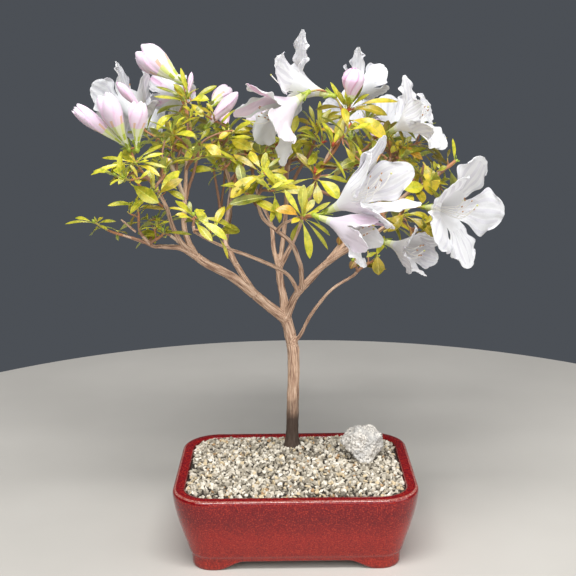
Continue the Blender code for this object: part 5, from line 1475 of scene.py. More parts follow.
# %% The table of bare twigs
BROWN_TWIG, RED_TWIG, GREEN_TWIG, PALE_TWIG = range(4)
BARE_TWIGS = (
    ("left_top_blossom", 3.5, 3.6, PALE_TWIG,
     ((-89, 26, 290), (-92, 22, 302), (-95, 18, 312), (-100, 14, 326))),
    ("left_top_blossom", 3.0, 2.3, BROWN_TWIG,
     ((-88, 28, 291), (-86, 34, 301), (-82, 38, 312), (-76, 40, 334))),
    ("left_top_blossom", 2.3, 2.0, BROWN_TWIG,
     ((-94, 24, 308), (-95, 30, 319), (-93, 36, 329), (-87, 48, 342))),
    ("left_outer_blossom", 1.8, 1.3, BROWN_TWIG,
     ((-106, 0, 311), (-104, 6, 324), (-104, 10, 332), (-102, 14, 341))),
    ("inner_left_leaves", 2.6, 1.9, BROWN_TWIG,
     ((-61, 56, 267), (-63, 60, 286), (-65, 60, 300), (-67, 62, 313))),
    ("inner_left_leaves", 2.2, 1.7, BROWN_TWIG,
     ((-61, 57, 269), (-61, 66, 283), (-59, 72, 298), (-57, 76, 319))),
    ("left_outer_blossom", 2.2, 1.8, RED_TWIG,
     ((-104, 0, 289), (-110, -6, 296), (-115, -14, 303), (-122, -20, 313), (-123, -18, 322))),
    ("left_low_leaves", 2.8, 2.4, PALE_TWIG,
     ((-92, 12, 256), (-95, 6, 261), (-99, 2, 265))),
    ("centre_top_leaves", 3.1, 2.6, BROWN_TWIG,
     ((-4, 66, 300), (-5, 64, 319), (-9, 62, 336))),
    ("centre_top_leaves", 2.9, 2.4, BROWN_TWIG,
     ((-2, 66, 293), (7, 64, 311), (16, 61, 325), (23, 60, 344))),
    ("centre_top_leaves", 2.3, 1.7, BROWN_TWIG,
     ((-4, 66, 309), (3, 74, 329), (13, 76, 346), (16, 76, 354))),
    ("crown_top_blossom", 3.4, 2.5, RED_TWIG,
     ((19, 46, 300), (26, 46, 315), (34, 46, 325), (41, 46, 337), (47, 46, 357))),
    ("front_rise_leaves", 2.0, 1.6, BROWN_TWIG,
     ((-26, -16, 289), (-33, -10, 296), (-39, -6, 303), (-42, -4, 309))),
    ("inner_left_leaves", 2.9, 2.4, RED_TWIG,
     ((-52, 66, 294), (-48, 68, 306), (-49, 72, 319), (-50, 74, 330))),
    ("crown_top_blossom", 2.7, 2.2, BROWN_TWIG,
     ((21, 44, 296), (37, 40, 291), (51, 36, 300), (62, 34, 311), (75, 34, 327))),
    ("right_tip_leaves", 3.2, 2.7, RED_TWIG,
     ((102, 43, 293), (115, 46, 298), (126, 48, 308), (139, 50, 318))),
    ("right_tip_leaves", 2.0, 1.7, BROWN_TWIG,
     ((112, 45, 297), (110, 46, 304), (112, 46, 316))),
    ("right_upper_blossom", 2.6, 2.1, BROWN_TWIG,
     ((86, 64, 311), (91, 66, 320), (95, 66, 330))),
    ("right_low_blossom", 2.3, 1.9, GREEN_TWIG,
     ((75, 8, 265), (85, 6, 272), (92, 4, 279))),
)
print("bare twigs", len(BARE_TWIGS))

# %% [markdown]
# ## How a shoot grows
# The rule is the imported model's: blossom stands where the table says, a twig reaches each shoot's
# tip from the nearest place that fits, and a whorl of leaves turns round the tip by the golden
# angle, upright ones first. A leaf that would leave its mass's space, or touch a limb, a flower or
# another leaf, is left out. With the same seed the same leaves come, and then a finer pass adds
# young leaves and side shoots between them.

# %% Whorls and twigs
LEAF_SHORT = 17.0
LEAF_LONG = 36.0
LEAF_BREADTH = 0.42
TWIG_SWEEP = 0.35
TWIG_SPACING = 18.0
WHORL_STEP = 1.0
WHORL_TURN = math.radians(137.5)
WHORL_LEAN = (38.0, 104.0)
WHORL_FIRST = 0.3


def leaning(way, turn, lean):
    """The direction that leans from a shoot's own by an angle, and which side of a blade there is up."""
    first = way.orthogonal().normalized()
    outward = first * math.cos(turn) + way.cross(first) * math.sin(turn)
    blade_way = (way * math.cos(lean) + outward * math.sin(lean)).normalized()
    return blade_way, (way - blade_way * way.dot(blade_way)).normalized()


def whorl(tip, way, count, rng):
    """The leaves round the end of a shoot: upright ones at the tip, spreading ones below."""
    start = rng.uniform(0, 2 * math.pi)
    least, most = WHORL_LEAN
    for index in range(count):
        share = index / max(1, count - 1)
        lean = math.radians(least + (most - least) * share + rng.uniform(-8, 8))
        blade_way, upper = leaning(way, start + index * WHORL_TURN, lean)
        grown = (WHORL_FIRST + (1 - WHORL_FIRST) * share) * rng.uniform(0.6, 1.0)
        length = LEAF_SHORT + (LEAF_LONG - LEAF_SHORT) * grown
        root = tip - way * WHORL_STEP * (index + 0.6)
        upper += blade_way.cross(upper) * rng.uniform(-0.5, 0.5)
        yield Blade(root, blade_way, upper, length, length * LEAF_BREADTH * rng.uniform(0.85, 1.15))


def twig_route(start, start_way, end, end_way, spacing=TWIG_SPACING):
    """A curve that leaves one direction and arrives along another."""
    span = (end - start).length
    first = start + start_way * span * TWIG_SWEEP
    second = end - end_way * span * TWIG_SWEEP
    steps = max(2, round(span / spacing))
    route = []
    for step in range(steps + 1):
        t = step / steps
        route.append(start * (1 - t) ** 3 + first * 3 * t * (1 - t) ** 2
                     + second * 3 * t ** 2 * (1 - t) + end * t ** 3)
    return route


print("leaves of a whorl turn by", round(math.degrees(WHORL_TURN), 1), "degrees")

# %% [markdown]
# Each mass then keeps its own list of what has grown in it, and of the places where a twig may
# branch. Search trees tell quickly whether a new twig or leaf would touch anything.

# %% A mass that grows
TWIG_THICKNESS = 2.8
TWIG_TIP_THICKNESS = 1.7
TWIG_ROOM = 0.7
TWIG_TRIES = 6
STEM_LEAD = 3.0
STEM_SPACING = 8.0
STEM_FOOT = 0.94
SHOOT_DISTANCE = 24.0
SHOOT_WAY = (0.5, 0.6, 0.35)
SEED_REACH = 0.7
SEED_LOWEST = -0.2
SEED_TRIES = 400
SHOWN_ROOM = 9.0
BACKWARD = 0.35
NEAR_TWIG = 2.5
FACING = Vector((0.0, -0.75, 0.65))
CROWN_AXIS = Vector((0.0, 60.0, 0.0))


class MassGrowth:
    """One mass of foliage: its stem, twigs, blossom and leaves, clear of all that is not its own."""

    def __init__(self, mass):
        self.mass = mass
        self.rng = random.Random(mass.name)
        self.fine_rng = random.Random(mass.name + "_fine")
        route, radii = limbs[mass.bough]
        way = directions(route)[-1]
        self.foot = route[-1] + way * GAP
        self.trees = []
        self.blade_trees = []
        self.stations = []
        self.flowers = []
        self.leafy = []
        self.twigs = []
        self.blades = []
        self.shown = []
        self.stem = [self.foot, self.foot + way * STEM_LEAD] + [Vector(point) for point in mass.stem]
        stem = smooth_route(self.stem, STEM_SPACING)
        self.stem_thick = 2 * radii[-1] * STEM_FOOT
        stem_radii = taper(stem, self.stem_thick, TWIG_THICKNESS)
        self.trees.append(search_tree(tube(stem, stem_radii, 5)))
        self.remember(stem, stem_radii)

    def remember(self, route, radii):
        """Keeps the places that a later twig may branch from."""
        self.stations += list(zip(route[1:], directions(route)[1:], radii[1:]))

    def inside(self, point):
        """Whether a point lies in the space that belongs to the mass."""
        offset = [(value - middle) / half
                  for value, middle, half in zip(point, self.mass.centre, self.mass.reach)]
        return sum(value * value for value in offset) <= 1.0

    def cost(self, station, end):
        """How far a twig would have to reach, and how sharply it would have to turn."""
        start, way, _ = station
        reach = end - start
        if reach.length < 4.0:
            return 500.0
        return reach.length * (1.6 - 0.9 * way.dot(reach.normalized()))

    def grow_twig(self, end, end_way, others, kind, thick=TWIG_THICKNESS, tip=TWIG_TIP_THICKNESS):
        """Adds one twig from the nearest fitting place, or nothing where none is free."""
        ranked = sorted(self.stations, key=lambda station: self.cost(station, end))
        for start, way, radius in ranked[:TWIG_TRIES]:
            route = twig_route(start, way, end, end_way)
            first = min(thick, 1.9 * radius)
            radii = taper(route, first, tip)
            if touches(search_tree(tube(route[1:], [first / 2 + TWIG_ROOM] * (len(route) - 1), 4)), others):
                continue
            self.trees.append(search_tree(tube(route, radii, 3)))
            self.remember(route, radii)
            self.twigs.append((twig_route(start, way, end, end_way, 2.5), first, tip, kind))
            return True
        return False

    def shoot_way(self, tip):
        """A shoot ends pointing away from the stem's foot, upwards and out of the crown."""
        onward, upward, outward = SHOOT_WAY
        out = tip - CROWN_AXIS
        out.z = 0.0
        away = (tip - self.foot).normalized() * onward + UP * upward + out.normalized() * outward
        return away.normalized()

    def shoot_tips(self):
        """The ends of the leafy shoots: those that show first, then seeded ones between them."""
        tips = [Vector(tip) for tip in self.mass.tips]
        tries = 0
        wanted = len(tips) + self.mass.extra
        while len(tips) < wanted and tries < SEED_TRIES:
            tries += 1
            spot = Vector([self.rng.uniform(-SEED_REACH, SEED_REACH) for _ in range(3)])
            if spot.length > SEED_REACH or spot.z < SEED_LOWEST:
                continue
            place = Vector([middle + half * share
                            for middle, half, share in zip(self.mass.centre, self.mass.reach, spot)])
            if all((place - tip).length > SHOOT_DISTANCE for tip in tips):
                tips.append(place)
        return tips

    def show_leaf(self, row):
        """Adds a leaf that was measured, and the short twig that it needs to reach its place."""
        root, tip = Vector(row[:3]), Vector(row[3:6])
        breadth, arch, tint = row[6:]
        way = (tip - root).normalized()
        start, start_way, radius = min(self.stations, key=lambda station: (station[0] - root).length)
        if (start - root).length > NEAR_TWIG:
            small = twig_route(start, start_way, root, way, 2.0)
            radii = taper(small, min(1.8, 1.9 * radius), 1.3)
            self.remember(small, radii)
            self.twigs.append((small, 2 * radii[0], 1.3, "side"))
        blade = Blade(root, way, FACING - way * FACING.dot(way), (tip - root).length, breadth)
        points = blade_points(blade)
        self.trees.append(BVHTree.FromPolygons(points, BLADE_FACES))
        self.blade_trees.append(BVHTree.FromPolygons(outer_blade(points), BLADE_FACES))
        self.blades.append((blade, (arch, tint)))
        self.shown.append(root)

    def grow_leaf(self, blade, others, age):
        """Keeps a leaf if it has room."""
        points = blade_points(blade)
        if not self.inside(points[1]) or in_opening(points[1]) or in_opening(points[4]):
            return
        if blade.way.y < BACKWARD and any((blade.root - root).length < SHOWN_ROOM for root in self.shown):
            return
        if touches(BVHTree.FromPolygons(wider_blade(points), BLADE_FACES), others):
            return
        own = BVHTree.FromPolygons(outer_blade(points), BLADE_FACES)
        if touches(own, self.blade_trees):
            return
        self.trees.append(BVHTree.FromPolygons(points, BLADE_FACES))
        self.blade_trees.append(own)
        self.blades.append((blade, age))


def touches(own, trees):
    """Whether a search tree meets any of the others."""
    return any(own.overlap(other) for other in trees)


print("a leaf keeps", LEAF_ROOM, "mm clear, and", SHOWN_ROOM, "mm from the roots of those that show")

# %% [markdown]
# ## Growing the crown
# First all the blossom, then the twigs, then the leaves, mass by mass, so that each step knows what
# the others hold. The shoots' ages decide their leaves' tints later.

# %% Blossom, twigs and leaves
limb_trees = [search_tree(tube(route, [radius + GAP for radius in radii], 12 if name == "trunk" else 7))
              for name, (route, radii) in limbs.items()]
growths = [MassGrowth(mass) for mass in MASSES]


def strangers(growth):
    """The search trees of all limbs and of every other mass."""
    return limb_trees + [tree for other in growths if other is not growth for tree in other.trees]


for growth in growths:
    rng = random.Random(growth.mass.name + "_petals")
    for bloom in growth.mass.blooms:
        if max(bloom.spreads) < HALF_OPEN:
            shape, place, fold = half_open(bloom)
            growth.flowers.append((bloom, shape, bud_slots(bloom.tint, place, fold, True)))
            continue
        points, faces, keys, side = thicken(*corolla(bloom, rng), PETAL_SHEET)
        growth.flowers.append((bloom, (points, faces), petal_slots(bloom.tint, keys, side)))
    for bud in growth.mass.buds:
        shape, place, fold = rolled_bud(bud)
        growth.flowers.append((bud, shape, bud_slots(bud.tint, place, fold)))
    for _, shape, _ in growth.flowers:
        growth.trees.append(search_tree(shape))
        growth.blade_trees.append(growth.trees[-1])

for growth in growths:
    others = strangers(growth)
    for tip in growth.shoot_tips():
        way = growth.shoot_way(tip)
        if growth.grow_twig(tip, way, others, "shoot"):
            growth.leafy.append((tip, way))
    for flower, _, _ in growth.flowers:
        way = aim(flower.azimuth, flower.elevation)
        growth.grow_twig(Vector(flower.base) + way * 3.0, way, others, "stalk")

growth_of = {growth.mass.name: growth for growth in growths}
for name, thick, thin, skin, places in BARE_TWIGS:
    route = smooth_route(places, 3.0)
    growth_of[name].remember(route, taper(route, thick, thin))
    growth_of[name].twigs.append((route, thick, thin, skin))
for name, rows in SHOWN_LEAVES.items():
    for row in rows:
        growth_of[name].show_leaf(row)

for growth in growths:
    others = strangers(growth)
    for tip, way in growth.leafy:
        for index, blade in enumerate(whorl(tip, way, growth.mass.leaves, growth.rng)):
            growth.grow_leaf(blade, others, index / growth.mass.leaves)
print("shoots", sum(len(growth.leafy) for growth in growths),
      "leaves", sum(len(growth.blades) for growth in growths))

# %% [markdown]
# ## The finer pass
# A real shoot carries small young leaves at its heart and a few side shoots along its twig. They
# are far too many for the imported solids, so they are added here, inside the same spaces.

# %% Young leaves and side shoots
YOUNG_LEAVES = 4
YOUNG_LENGTH = (8.0, 17.0)
YOUNG_LEAN = (12.0, 62.0)
SPREADING_LEAVES = 2
SPREADING_LENGTH = (15.0, 27.0)
SPREADING_LEAN = (70.0, 118.0)
LONG_SHOOT = 7
SIDE_SHARE = 0.6
SIDE_SHOOT = 11.0
SIDE_ROOM = 1.2
SIDE_THICKNESS = (1.6, 1.1)
SIDE_LEAVES = 4
SIDE_LENGTH = (9.0, 18.0)
SIDE_LEAN = (20.0, 85.0)


def extra_leaves(growth, tip, way, count, lengths, leans, others, age, step=0.5):
    """Adds leaves of a range of lengths and leans round a tip, from the mass's second seed."""
    rng = growth.fine_rng
    start = rng.uniform(0, 2 * math.pi)
    for index in range(count):
        lean = math.radians(rng.uniform(*leans))
        blade_way, upper = leaning(way, start + index * WHORL_TURN, lean)
        upper += blade_way.cross(upper) * rng.uniform(-0.6, 0.6)
        length = rng.uniform(*lengths)
        root = tip - way * step * (index + 0.4)
        growth.grow_leaf(Blade(root, blade_way, upper, length, length * rng.uniform(0.32, 0.44)), others, age)


for growth in growths:
    others = strangers(growth)
    rng = growth.fine_rng
    for tip, way in list(growth.leafy):
        extra_leaves(growth, tip, way, YOUNG_LEAVES, YOUNG_LENGTH, YOUNG_LEAN, others, 0.0)
        extra_leaves(growth, tip - way * 4.0, way, SPREADING_LEAVES, SPREADING_LENGTH, SPREADING_LEAN,
                     others, 0.9, 1.6)
    for route, _, _, kind in list(growth.twigs):
        if kind != "shoot" or len(route) < LONG_SHOOT:
            continue
        index = int(SIDE_SHARE * (len(route) - 1))
        way = directions(route)[index]
        aside = Matrix.Rotation(rng.uniform(0, 2 * math.pi), 3, way) @ way.orthogonal().normalized()
        end = route[index] + (way * 0.6 + aside).normalized() * SIDE_SHOOT
        end_way = (way * 0.4 + aside * 0.6 + UP * 0.5).normalized()
        if not growth.inside(end):
            continue
        small = twig_route(route[index], (way + aside).normalized(), end, end_way, 2.0)
        if touches(search_tree(tube(small[2:], [SIDE_ROOM] * (len(small) - 2), 4)), others):
            continue
        kept = len(growth.blades)
        extra_leaves(growth, end, end_way, SIDE_LEAVES, SIDE_LENGTH, SIDE_LEAN, others, 0.3)
        if len(growth.blades) > kept:
            growth.twigs.append((small, *SIDE_THICKNESS, "side"))
print("leaves with the finer pass", sum(len(growth.blades) for growth in growths),
      "twigs", sum(len(growth.twigs) for growth in growths))

# %% [markdown]
# ## Leaf tints
# The leaves are yellow-green in the light, fresher green on the left and olive, yellow and amber on
# the right, where last year's leaves are about to drop. Each spray has its own mix. A leaf has a
# plain colour for its top, one for its midrib and one for its paler underside.

# %% Leaves as one mesh for each half of the crown
UNDER_TINTS = ("#B7BC62", "#AF9F55")
RIB_TINTS = ("#C6C655", "#BDA84C")
MIXES = {
    "lime": ((LIME_LEAF, 34), (YELLOW_GREEN, 32), (FRESH, 18), (DEEP, 7), (YELLOW, 6), (OLIVE, 3)),
    "fresh": ((LIME_LEAF, 20), (YELLOW_GREEN, 26), (FRESH, 28), (DEEP, 18), (YELLOW, 4), (OLIVE, 4)),
    "olive": ((LIME_LEAF, 10), (YELLOW_GREEN, 26), (FRESH, 14), (OLIVE, 26), (YELLOW, 14), (DEEP, 6),
              (BROWN, 4)),
    "amber": ((LIME_LEAF, 18), (YELLOW_GREEN, 24), (YELLOW, 18), (AMBER, 16), (OLIVE, 16), (BROWN, 8)),
}
LEAF_SLIM = (0.56, 0.82)
LIME_SHARE = 0.5
leaf_heaps = {"left": Heap(), "right": Heap()}
tint_count = len(LEAF_TINTS)
for growth in growths:
    rng = random.Random(growth.mass.name + "_tints")
    half = leaf_heaps[half_of(growth.mass)]
    for blade, age in growth.blades:
        choices, weights = zip(*MIXES[growth.mass.tints])
        tint = rng.choices(choices, weights)[0]
        arch = None
        if isinstance(age, tuple):
            arch, tint = age
        elif age == 0.0 and rng.random() < LIME_SHARE:
            tint = LIME_LEAF
        warm = tint in (OLIVE, YELLOW, AMBER, BROWN)
        if arch is None:
            blade = blade._replace(breadth=blade.breadth * rng.uniform(*LEAF_SLIM))
        shape, kinds = leaf_mesh(blade, rng, arch)
        slots = np.array((tint, tint_count + 2 + warm, tint_count + warm))[kinds]
        half.add(shape, slots)
print("leaves in each half", {half: len(heap.points) for half, heap in leaf_heaps.items()})

# %% [markdown]
# ## Leaf skin
# A leaf's skin is waxed: it shines softly, and its veins sink into it in a fine net. Patches a few
# millimetres wide are a darker green. Light that enters is scattered and comes out yellow-green.

# %% Leaf finishes
VEIN_PITCH = 1.4
PATCH_SIZE = 5.0
PATCH_SHADE = (0.56, 0.66, 0.42, 1.0)
leaf_finishes = []
for name, tone in ([(f"leaf_top_{i + 1}", tone) for i, tone in enumerate(LEAF_TINTS)]
                   + [(f"leaf_under_{i + 1}", tone) for i, tone in enumerate(UNDER_TINTS)]
                   + [(f"leaf_rib_{i + 1}", tone) for i, tone in enumerate(RIB_TINTS)]):
    material, tree, shader = finish(name, Base_Color=linear(tone), Roughness=0.34, IOR=1.5)
    shader.inputs["Subsurface Weight"].default_value = 0.12
    shader.inputs["Subsurface Radius"].default_value = (0.6, 1.0, 0.2)
    shader.inputs["Subsurface Scale"].default_value = 0.8 * MM
    place = add(tree, "ShaderNodeTexCoord").outputs["Object"]
    patch = add(tree, "ShaderNodeTexNoise", {"Vector": place, "Scale": scale_of(PATCH_SIZE),
                                             "Detail": 4.0, "Roughness": 0.62})
    shade = tuple(part * share for part, share in zip(linear(tone), PATCH_SHADE))
    skin = add(tree, "ShaderNodeValToRGB", {"Fac": patch.outputs["Fac"]},
               stops=((0.36, shade), (0.56, tone)))
    tree.links.new(skin.outputs["Color"], shader.inputs["Base Color"])
    net = add(tree, "ShaderNodeTexVoronoi", {"Vector": place, "Scale": scale_of(VEIN_PITCH)},
              feature="SMOOTH_F1")
    relief = add(tree, "ShaderNodeBump", {"Strength": 0.4, "Distance": 0.25 * MM,
                                          "Height": net.outputs["Distance"]})
    tree.links.new(relief.outputs["Normal"], shader.inputs["Normal"])
    leaf_finishes.append(material)
leaf_pieces = {half: [mass.name for mass in MASSES if half_of(mass) == half] for half in leaf_heaps}
for half, heap in leaf_heaps.items():
    leaves = heap.build(f"leaves_{half}", leaf_finishes, crease=75)
    dress(leaves, "foliage_and_blossom", *leaf_pieces[half])

# %% [markdown]
# ## Petals
# A petal is a few cells thick and full of air, so it looks white and glows where light comes
# through. Fine veins fan out along it. It is matt, with a faint sheen.

# %% Petal finishes
PETAL_GRAIN = 0.8

petal_finishes = []
for name, tone in PETAL_TONES:
    material, tree, shader = finish(f"petal_{name}", Base_Color=linear(tone), Roughness=0.55, IOR=1.4)
    shader.inputs["Subsurface Weight"].default_value = 0.85
    shader.inputs["Subsurface Radius"].default_value = (1.0, 0.95, 0.95)
    shader.inputs["Subsurface Scale"].default_value = 2.0 * MM
    shader.inputs["Sheen Weight"].default_value = 0.15
    place = add(tree, "ShaderNodeTexCoord").outputs["Object"]
    crinkle = add(tree, "ShaderNodeTexNoise", {"Vector": place, "Scale": scale_of(PETAL_GRAIN),
                                               "Detail": 3.0})
    relief = add(tree, "ShaderNodeBump", {"Strength": 0.3, "Distance": 0.25 * MM,
                                          "Height": crinkle.outputs["Fac"]})
    tree.links.new(relief.outputs["Normal"], shader.inputs["Normal"])
    petal_finishes.append(material)
petal_heaps = {"left": Heap(), "right": Heap()}
for growth in growths:
    half = petal_heaps[half_of(growth.mass)]
    for flower, shape, slots in growth.flowers:
        half.add(shape, slots)
for half, heap in petal_heaps.items():
    petals = heap.build(f"petals_{half}", petal_finishes, crease=70)
    blossom = [name for name in leaf_pieces[half] if name.endswith("blossom")]
    dress(petals, "foliage_and_blossom", *blossom)

# %% [markdown]
# ## Stamens, pistil and calyx
# An azalea has five to ten stamens that rise in a curve from the funnel's foot, each with a small
# tan anther, and a longer pistil. A green calyx with narrow sepals holds the flower.

# %% The heart of each flower
FILAMENT = 0.32
ANTHER = (1.1, 0.6)
PISTIL = 0.45
STIGMA_SIZE = (0.9, 0.9)
STAMENS = 7
STAMEN_ASIDE = 0.38
STAMEN_REACH = (0.3, 0.6)
PISTIL_ASIDE = 0.15
PISTIL_REACH = 0.78
CALYX_EGG = (3.2, 2.4)
SEPAL_LENGTH = 9.0
SEPAL_BREADTH = 2.0
BALL_POINTS, BALL_FACES = ball_mesh(1)
heart_heap = Heap()
calyx_heap = Heap()
WHITE_THREAD, ANTHER_TAN, STIGMA = range(3)


def egg(middle, way, length, breadth):
    """A small egg of twenty triangles along a direction."""
    frame_of = carried_frames([Vector(middle), Vector(middle) + Vector(way)])[0]
    return middle + BALL_POINTS @ (frame_of * np.array((length, breadth, breadth))[:, None]), BALL_FACES


for growth in growths:
    rng = random.Random(growth.mass.name + "_heart")
    for flower, _, _ in growth.flowers:
        axis, side, top = flower_frame(flower.azimuth, flower.elevation)
        base = np.array(flower.base, dtype=float)
        if isinstance(flower, Bloom) and max(flower.spreads) > HALF_OPEN:
            for index in range(STAMENS + 1):
                turn = 2 * math.pi * index / STAMENS + rng.uniform(-0.3, 0.3)
                longest = index == STAMENS
                share = PISTIL_REACH if longest else rng.uniform(*STAMEN_REACH)
                reach = share * flower.length + FUNNEL_LENGTH
                aside = PISTIL_ASIDE if longest else STAMEN_ASIDE
                out = (side * math.cos(turn) + top * math.sin(turn)) * flower.mouth * aside
                rise = top * rng.uniform(3, 7)
                route = [Vector(base + axis * 5.0), Vector(base + axis * reach * 0.45 + out * 0.35),
                         Vector(base + axis * reach * 0.8 + out * 0.9 - top * 1.5),
                         Vector(base + axis * reach + out + rise)]
                thread = smooth_route(route, 4.0)
                thick = PISTIL if longest else FILAMENT
                heart_heap.add(tube(thread, [thick] * len(thread), 6), WHITE_THREAD)
                way = directions(thread)[-1]
                tip = np.array(thread[-1])
                kind = STIGMA if longest else ANTHER_TAN
                heart_heap.add(egg(tip, way, *(STIGMA_SIZE if longest else ANTHER)), kind)
        span = flower.length if isinstance(flower, Bud) else 40.0
        for index in range(LOBES):
            turn = FIFTH * index + rng.uniform(-0.2, 0.2)
            out = side * math.cos(turn) + top * math.sin(turn)
            sepal_way = Vector(axis + out * 0.32).normalized()
            length = min(SEPAL_LENGTH, span * 0.25)
            root = Vector(base + out * 1.3 - axis * 1.5)
            sepal = Blade(root, sepal_way, Vector(-out), length, SEPAL_BREADTH)
            calyx_heap.add(leaf_mesh(sepal, rng)[0])
        calyx_heap.add(egg(base - axis * 0.5, Vector(axis), *CALYX_EGG))
print("parts of the hearts", len(heart_heap.points), "and of the calyxes", len(calyx_heap.points))

# %% [markdown]
# Each leafy shoot ends in a small pointed bud between its youngest leaves. Those in the middle of
# the crown have the rusty scales of a bud that has just opened.

# %% Shoot buds
SCALE_LENGTH = 6.0
SCALE_BREADTH = 1.5
SHOOT_EGG = (2.6, 1.3)

for growth in growths:
    rng = random.Random(growth.mass.name + "_scales")
    rusty = growth.mass.name in ("crown_top_blossom", "centre_top_leaves", "right_low_blossom")
    for tip, way in growth.leafy:
        calyx_heap.add(egg(np.array(tip + way * 1.2), way, *SHOOT_EGG), 1 if rusty else 0)
        for index in range(4 if rusty else 2):
            turned_way = Matrix.Rotation(index * WHORL_TURN, 3, way) @ way.orthogonal().normalized()
            scale_way = (way + turned_way * rng.uniform(0.3, 0.7)).normalized()
            length = SCALE_LENGTH * rng.uniform(0.6, 1.2)
            scale = Blade(tip + turned_way * 0.6, scale_way, way - turned_way, length, SCALE_BREADTH)
            calyx_heap.add(leaf_mesh(scale, rng)[0], 1 if rusty else 0)

HEART_PAINTS = (("stamen_thread", "#F0EDE6", 0.5), ("ripe_anther", "#B07F55", 0.8),
                ("stigma_green", "#C9C77A", 0.4))
CALYX_PAINTS = (("sepal_green", "#9DAE3C", 0.5), ("rusty_bud_scale", "#A8482A", 0.6))
for name, heap, paints in (("stamens_and_pistils", heart_heap, HEART_PAINTS),
                           ("calyxes_and_shoot_buds", calyx_heap, CALYX_PAINTS)):
    materials = [finish(paint, Base_Color=linear(tone), Roughness=rough)[0] for paint, tone, rough in paints]
    dress(heap.build(name, materials), "foliage_and_blossom")

# %% [markdown]
# ## Twigs
# Young twigs are smooth and reddish brown where they leave the wood, and greener near the leaves.
# Small swellings mark where old leaves sat.

# %% Twigs as one mesh
TWIG_SIDES = 8
NODE_SPACING = 5.0
NODE_SWELL = 0.09
twig_heap = Heap()
for growth in growths:
    rng = random.Random(growth.mass.name + "_twigs")
    for route, first, last_thickness, kind in growth.twigs:
        radii = taper(route, first, last_thickness)
        for i, travelled in enumerate(distances(route)):
            swell = NODE_SWELL * math.sin(2 * math.pi * travelled / NODE_SPACING)
            radii[i] *= 1 + swell + rng.uniform(-0.04, 0.04)
        shape = tube(route, radii, TWIG_SIDES)
        share = np.repeat(np.arange(len(route) - 1) / (len(route) - 1), TWIG_SIDES)
        share = np.concatenate((share, np.zeros(TWIG_SIDES), np.ones(TWIG_SIDES)))
        slots = np.where(share > 0.75, GREEN_TWIG, np.where(share > 0.45, RED_TWIG, BROWN_TWIG))
        if kind == "stalk":
            slots = np.where(share > 0.55, GREEN_TWIG, RED_TWIG)
        if not isinstance(kind, str):
            slots = np.full(len(share), kind)
        twig_heap.add(shape, slots)

TWIG_GRAIN = 0.5
TWIG_PAINTS = (("twig_bark_brown", "#9A7258"), ("twig_bark_red", "#B27A52"), ("twig_skin_green", "#B0A155"),
               ("twig_bark_pale", "#D8BFA4"))
twig_finishes = []
for name, tone in TWIG_PAINTS:
    material, tree, shader = finish(name, Base_Color=linear(tone), Roughness=0.65)
    place = add(tree, "ShaderNodeTexCoord").outputs["Object"]
    skin = add(tree, "ShaderNodeTexNoise", {"Vector": place, "Scale": scale_of(TWIG_GRAIN), "Detail": 3.0})
    relief = add(tree, "ShaderNodeBump", {"Strength": 0.5, "Distance": 0.25 * MM,
                                          "Height": skin.outputs["Fac"]})
    tree.links.new(relief.outputs["Normal"], shader.inputs["Normal"])
    twig_finishes.append(material)
twigs = twig_heap.build("twigs", twig_finishes)
dress(twigs, "bark", *MASS_NODES)

# %% [markdown]
# ## Wood with its bark
# Trunk, boughs and stems are one piece of wood. Fine tubes overlap at each fork, a voxel remesh
# melts them into one skin, and a few rounds of smoothing soften the crotches. Then the skin is
# pushed in and out by noise that is stretched along each limb, which gives the stringy furrows. The
# same stretched coordinates are kept on the mesh for the colour.

# %% Melting the limbs together
WOOD_SPACING = 3.0
WOOD_SIDES = 18
VOXEL = 0.55
COLLAR = 0.22
COLLAR_LENGTH = 5.0
LUMP = 0.05
LUMP_LENGTH = 9.0
SUNK = 2.5
SUNK_SPREAD = 1.12
DEAD_STUBS = (((-127.3, 4, 268.1), (-139, 4, 278.5), 2.2), ((-120.7, 6, 258.6), (-138.4, 6, 265.4), 2.6),
              ((-95.9, 30, 310.4), (-99.6, 30, 322.9), 4.2))

wood_limbs = grow_limbs(WOOD_SPACING)
wood_parts = []
for name, (route, radii) in wood_limbs.items():
    swollen = []
    for radius, travelled in zip(radii, distances(route)):
        collar = 0.0 if name == "trunk" else COLLAR * math.exp(-travelled / COLLAR_LENGTH)
        lumpy = LUMP * noise.noise(Vector((travelled / LUMP_LENGTH, len(wood_parts) * 7.1, 0)))
        swollen.append(radius * (1 + collar + lumpy))
    if name == "trunk":
        route = [route[0] - UP * SUNK] + route
        swollen = [swollen[0] * SUNK_SPREAD] + swollen
    wood_parts.append((route, swollen))
for growth in growths:
    route = smooth_route([limbs[growth.mass.bough][0][-1]] + growth.stem[1:], WOOD_SPACING)
    wood_parts.append((route, taper(route, growth.stem_thick, TWIG_THICKNESS)))
for start, end, thick in DEAD_STUBS:
    route = smooth_route((start, end), WOOD_SPACING)
    wood_parts.append((route, taper(route, thick, thick * 0.75)))

wood_heap = Heap()
for route, radii in wood_parts:
    wood_heap.add(tube(route, radii, WOOD_SIDES))
wood = wood_heap.build("bark_covered_wood", ())
remesh = wood.modifiers.new("melt", "REMESH")
remesh.mode = "VOXEL"
remesh.voxel_size = VOXEL * MM
smoothing = wood.modifiers.new("soften", "SMOOTH")
smoothing.factor = 0.5
smoothing.iterations = 5
bpy.context.view_layer.update()
melted = bpy.data.meshes.new_from_object(wood.evaluated_get(bpy.context.evaluated_depsgraph_get()))
wood.modifiers.clear()
wood.data = melted
print("wood faces", len(melted.polygons))

# %% [markdown]
# Each point of the skin looks up the nearest place on a limb's centre line. Its distance along the
# limb and its offset across it are its grain coordinates.

# %% Furrows along the grain
FURROW = 1.1
FURROW_DEPTH = 0.42
FURROW_STRETCH = 0.1
FLAKE = 3.5
FLAKE_DEPTH = 0.35
SMOOTH_BELOW = 3.5
LIMBS_APART = 50.0

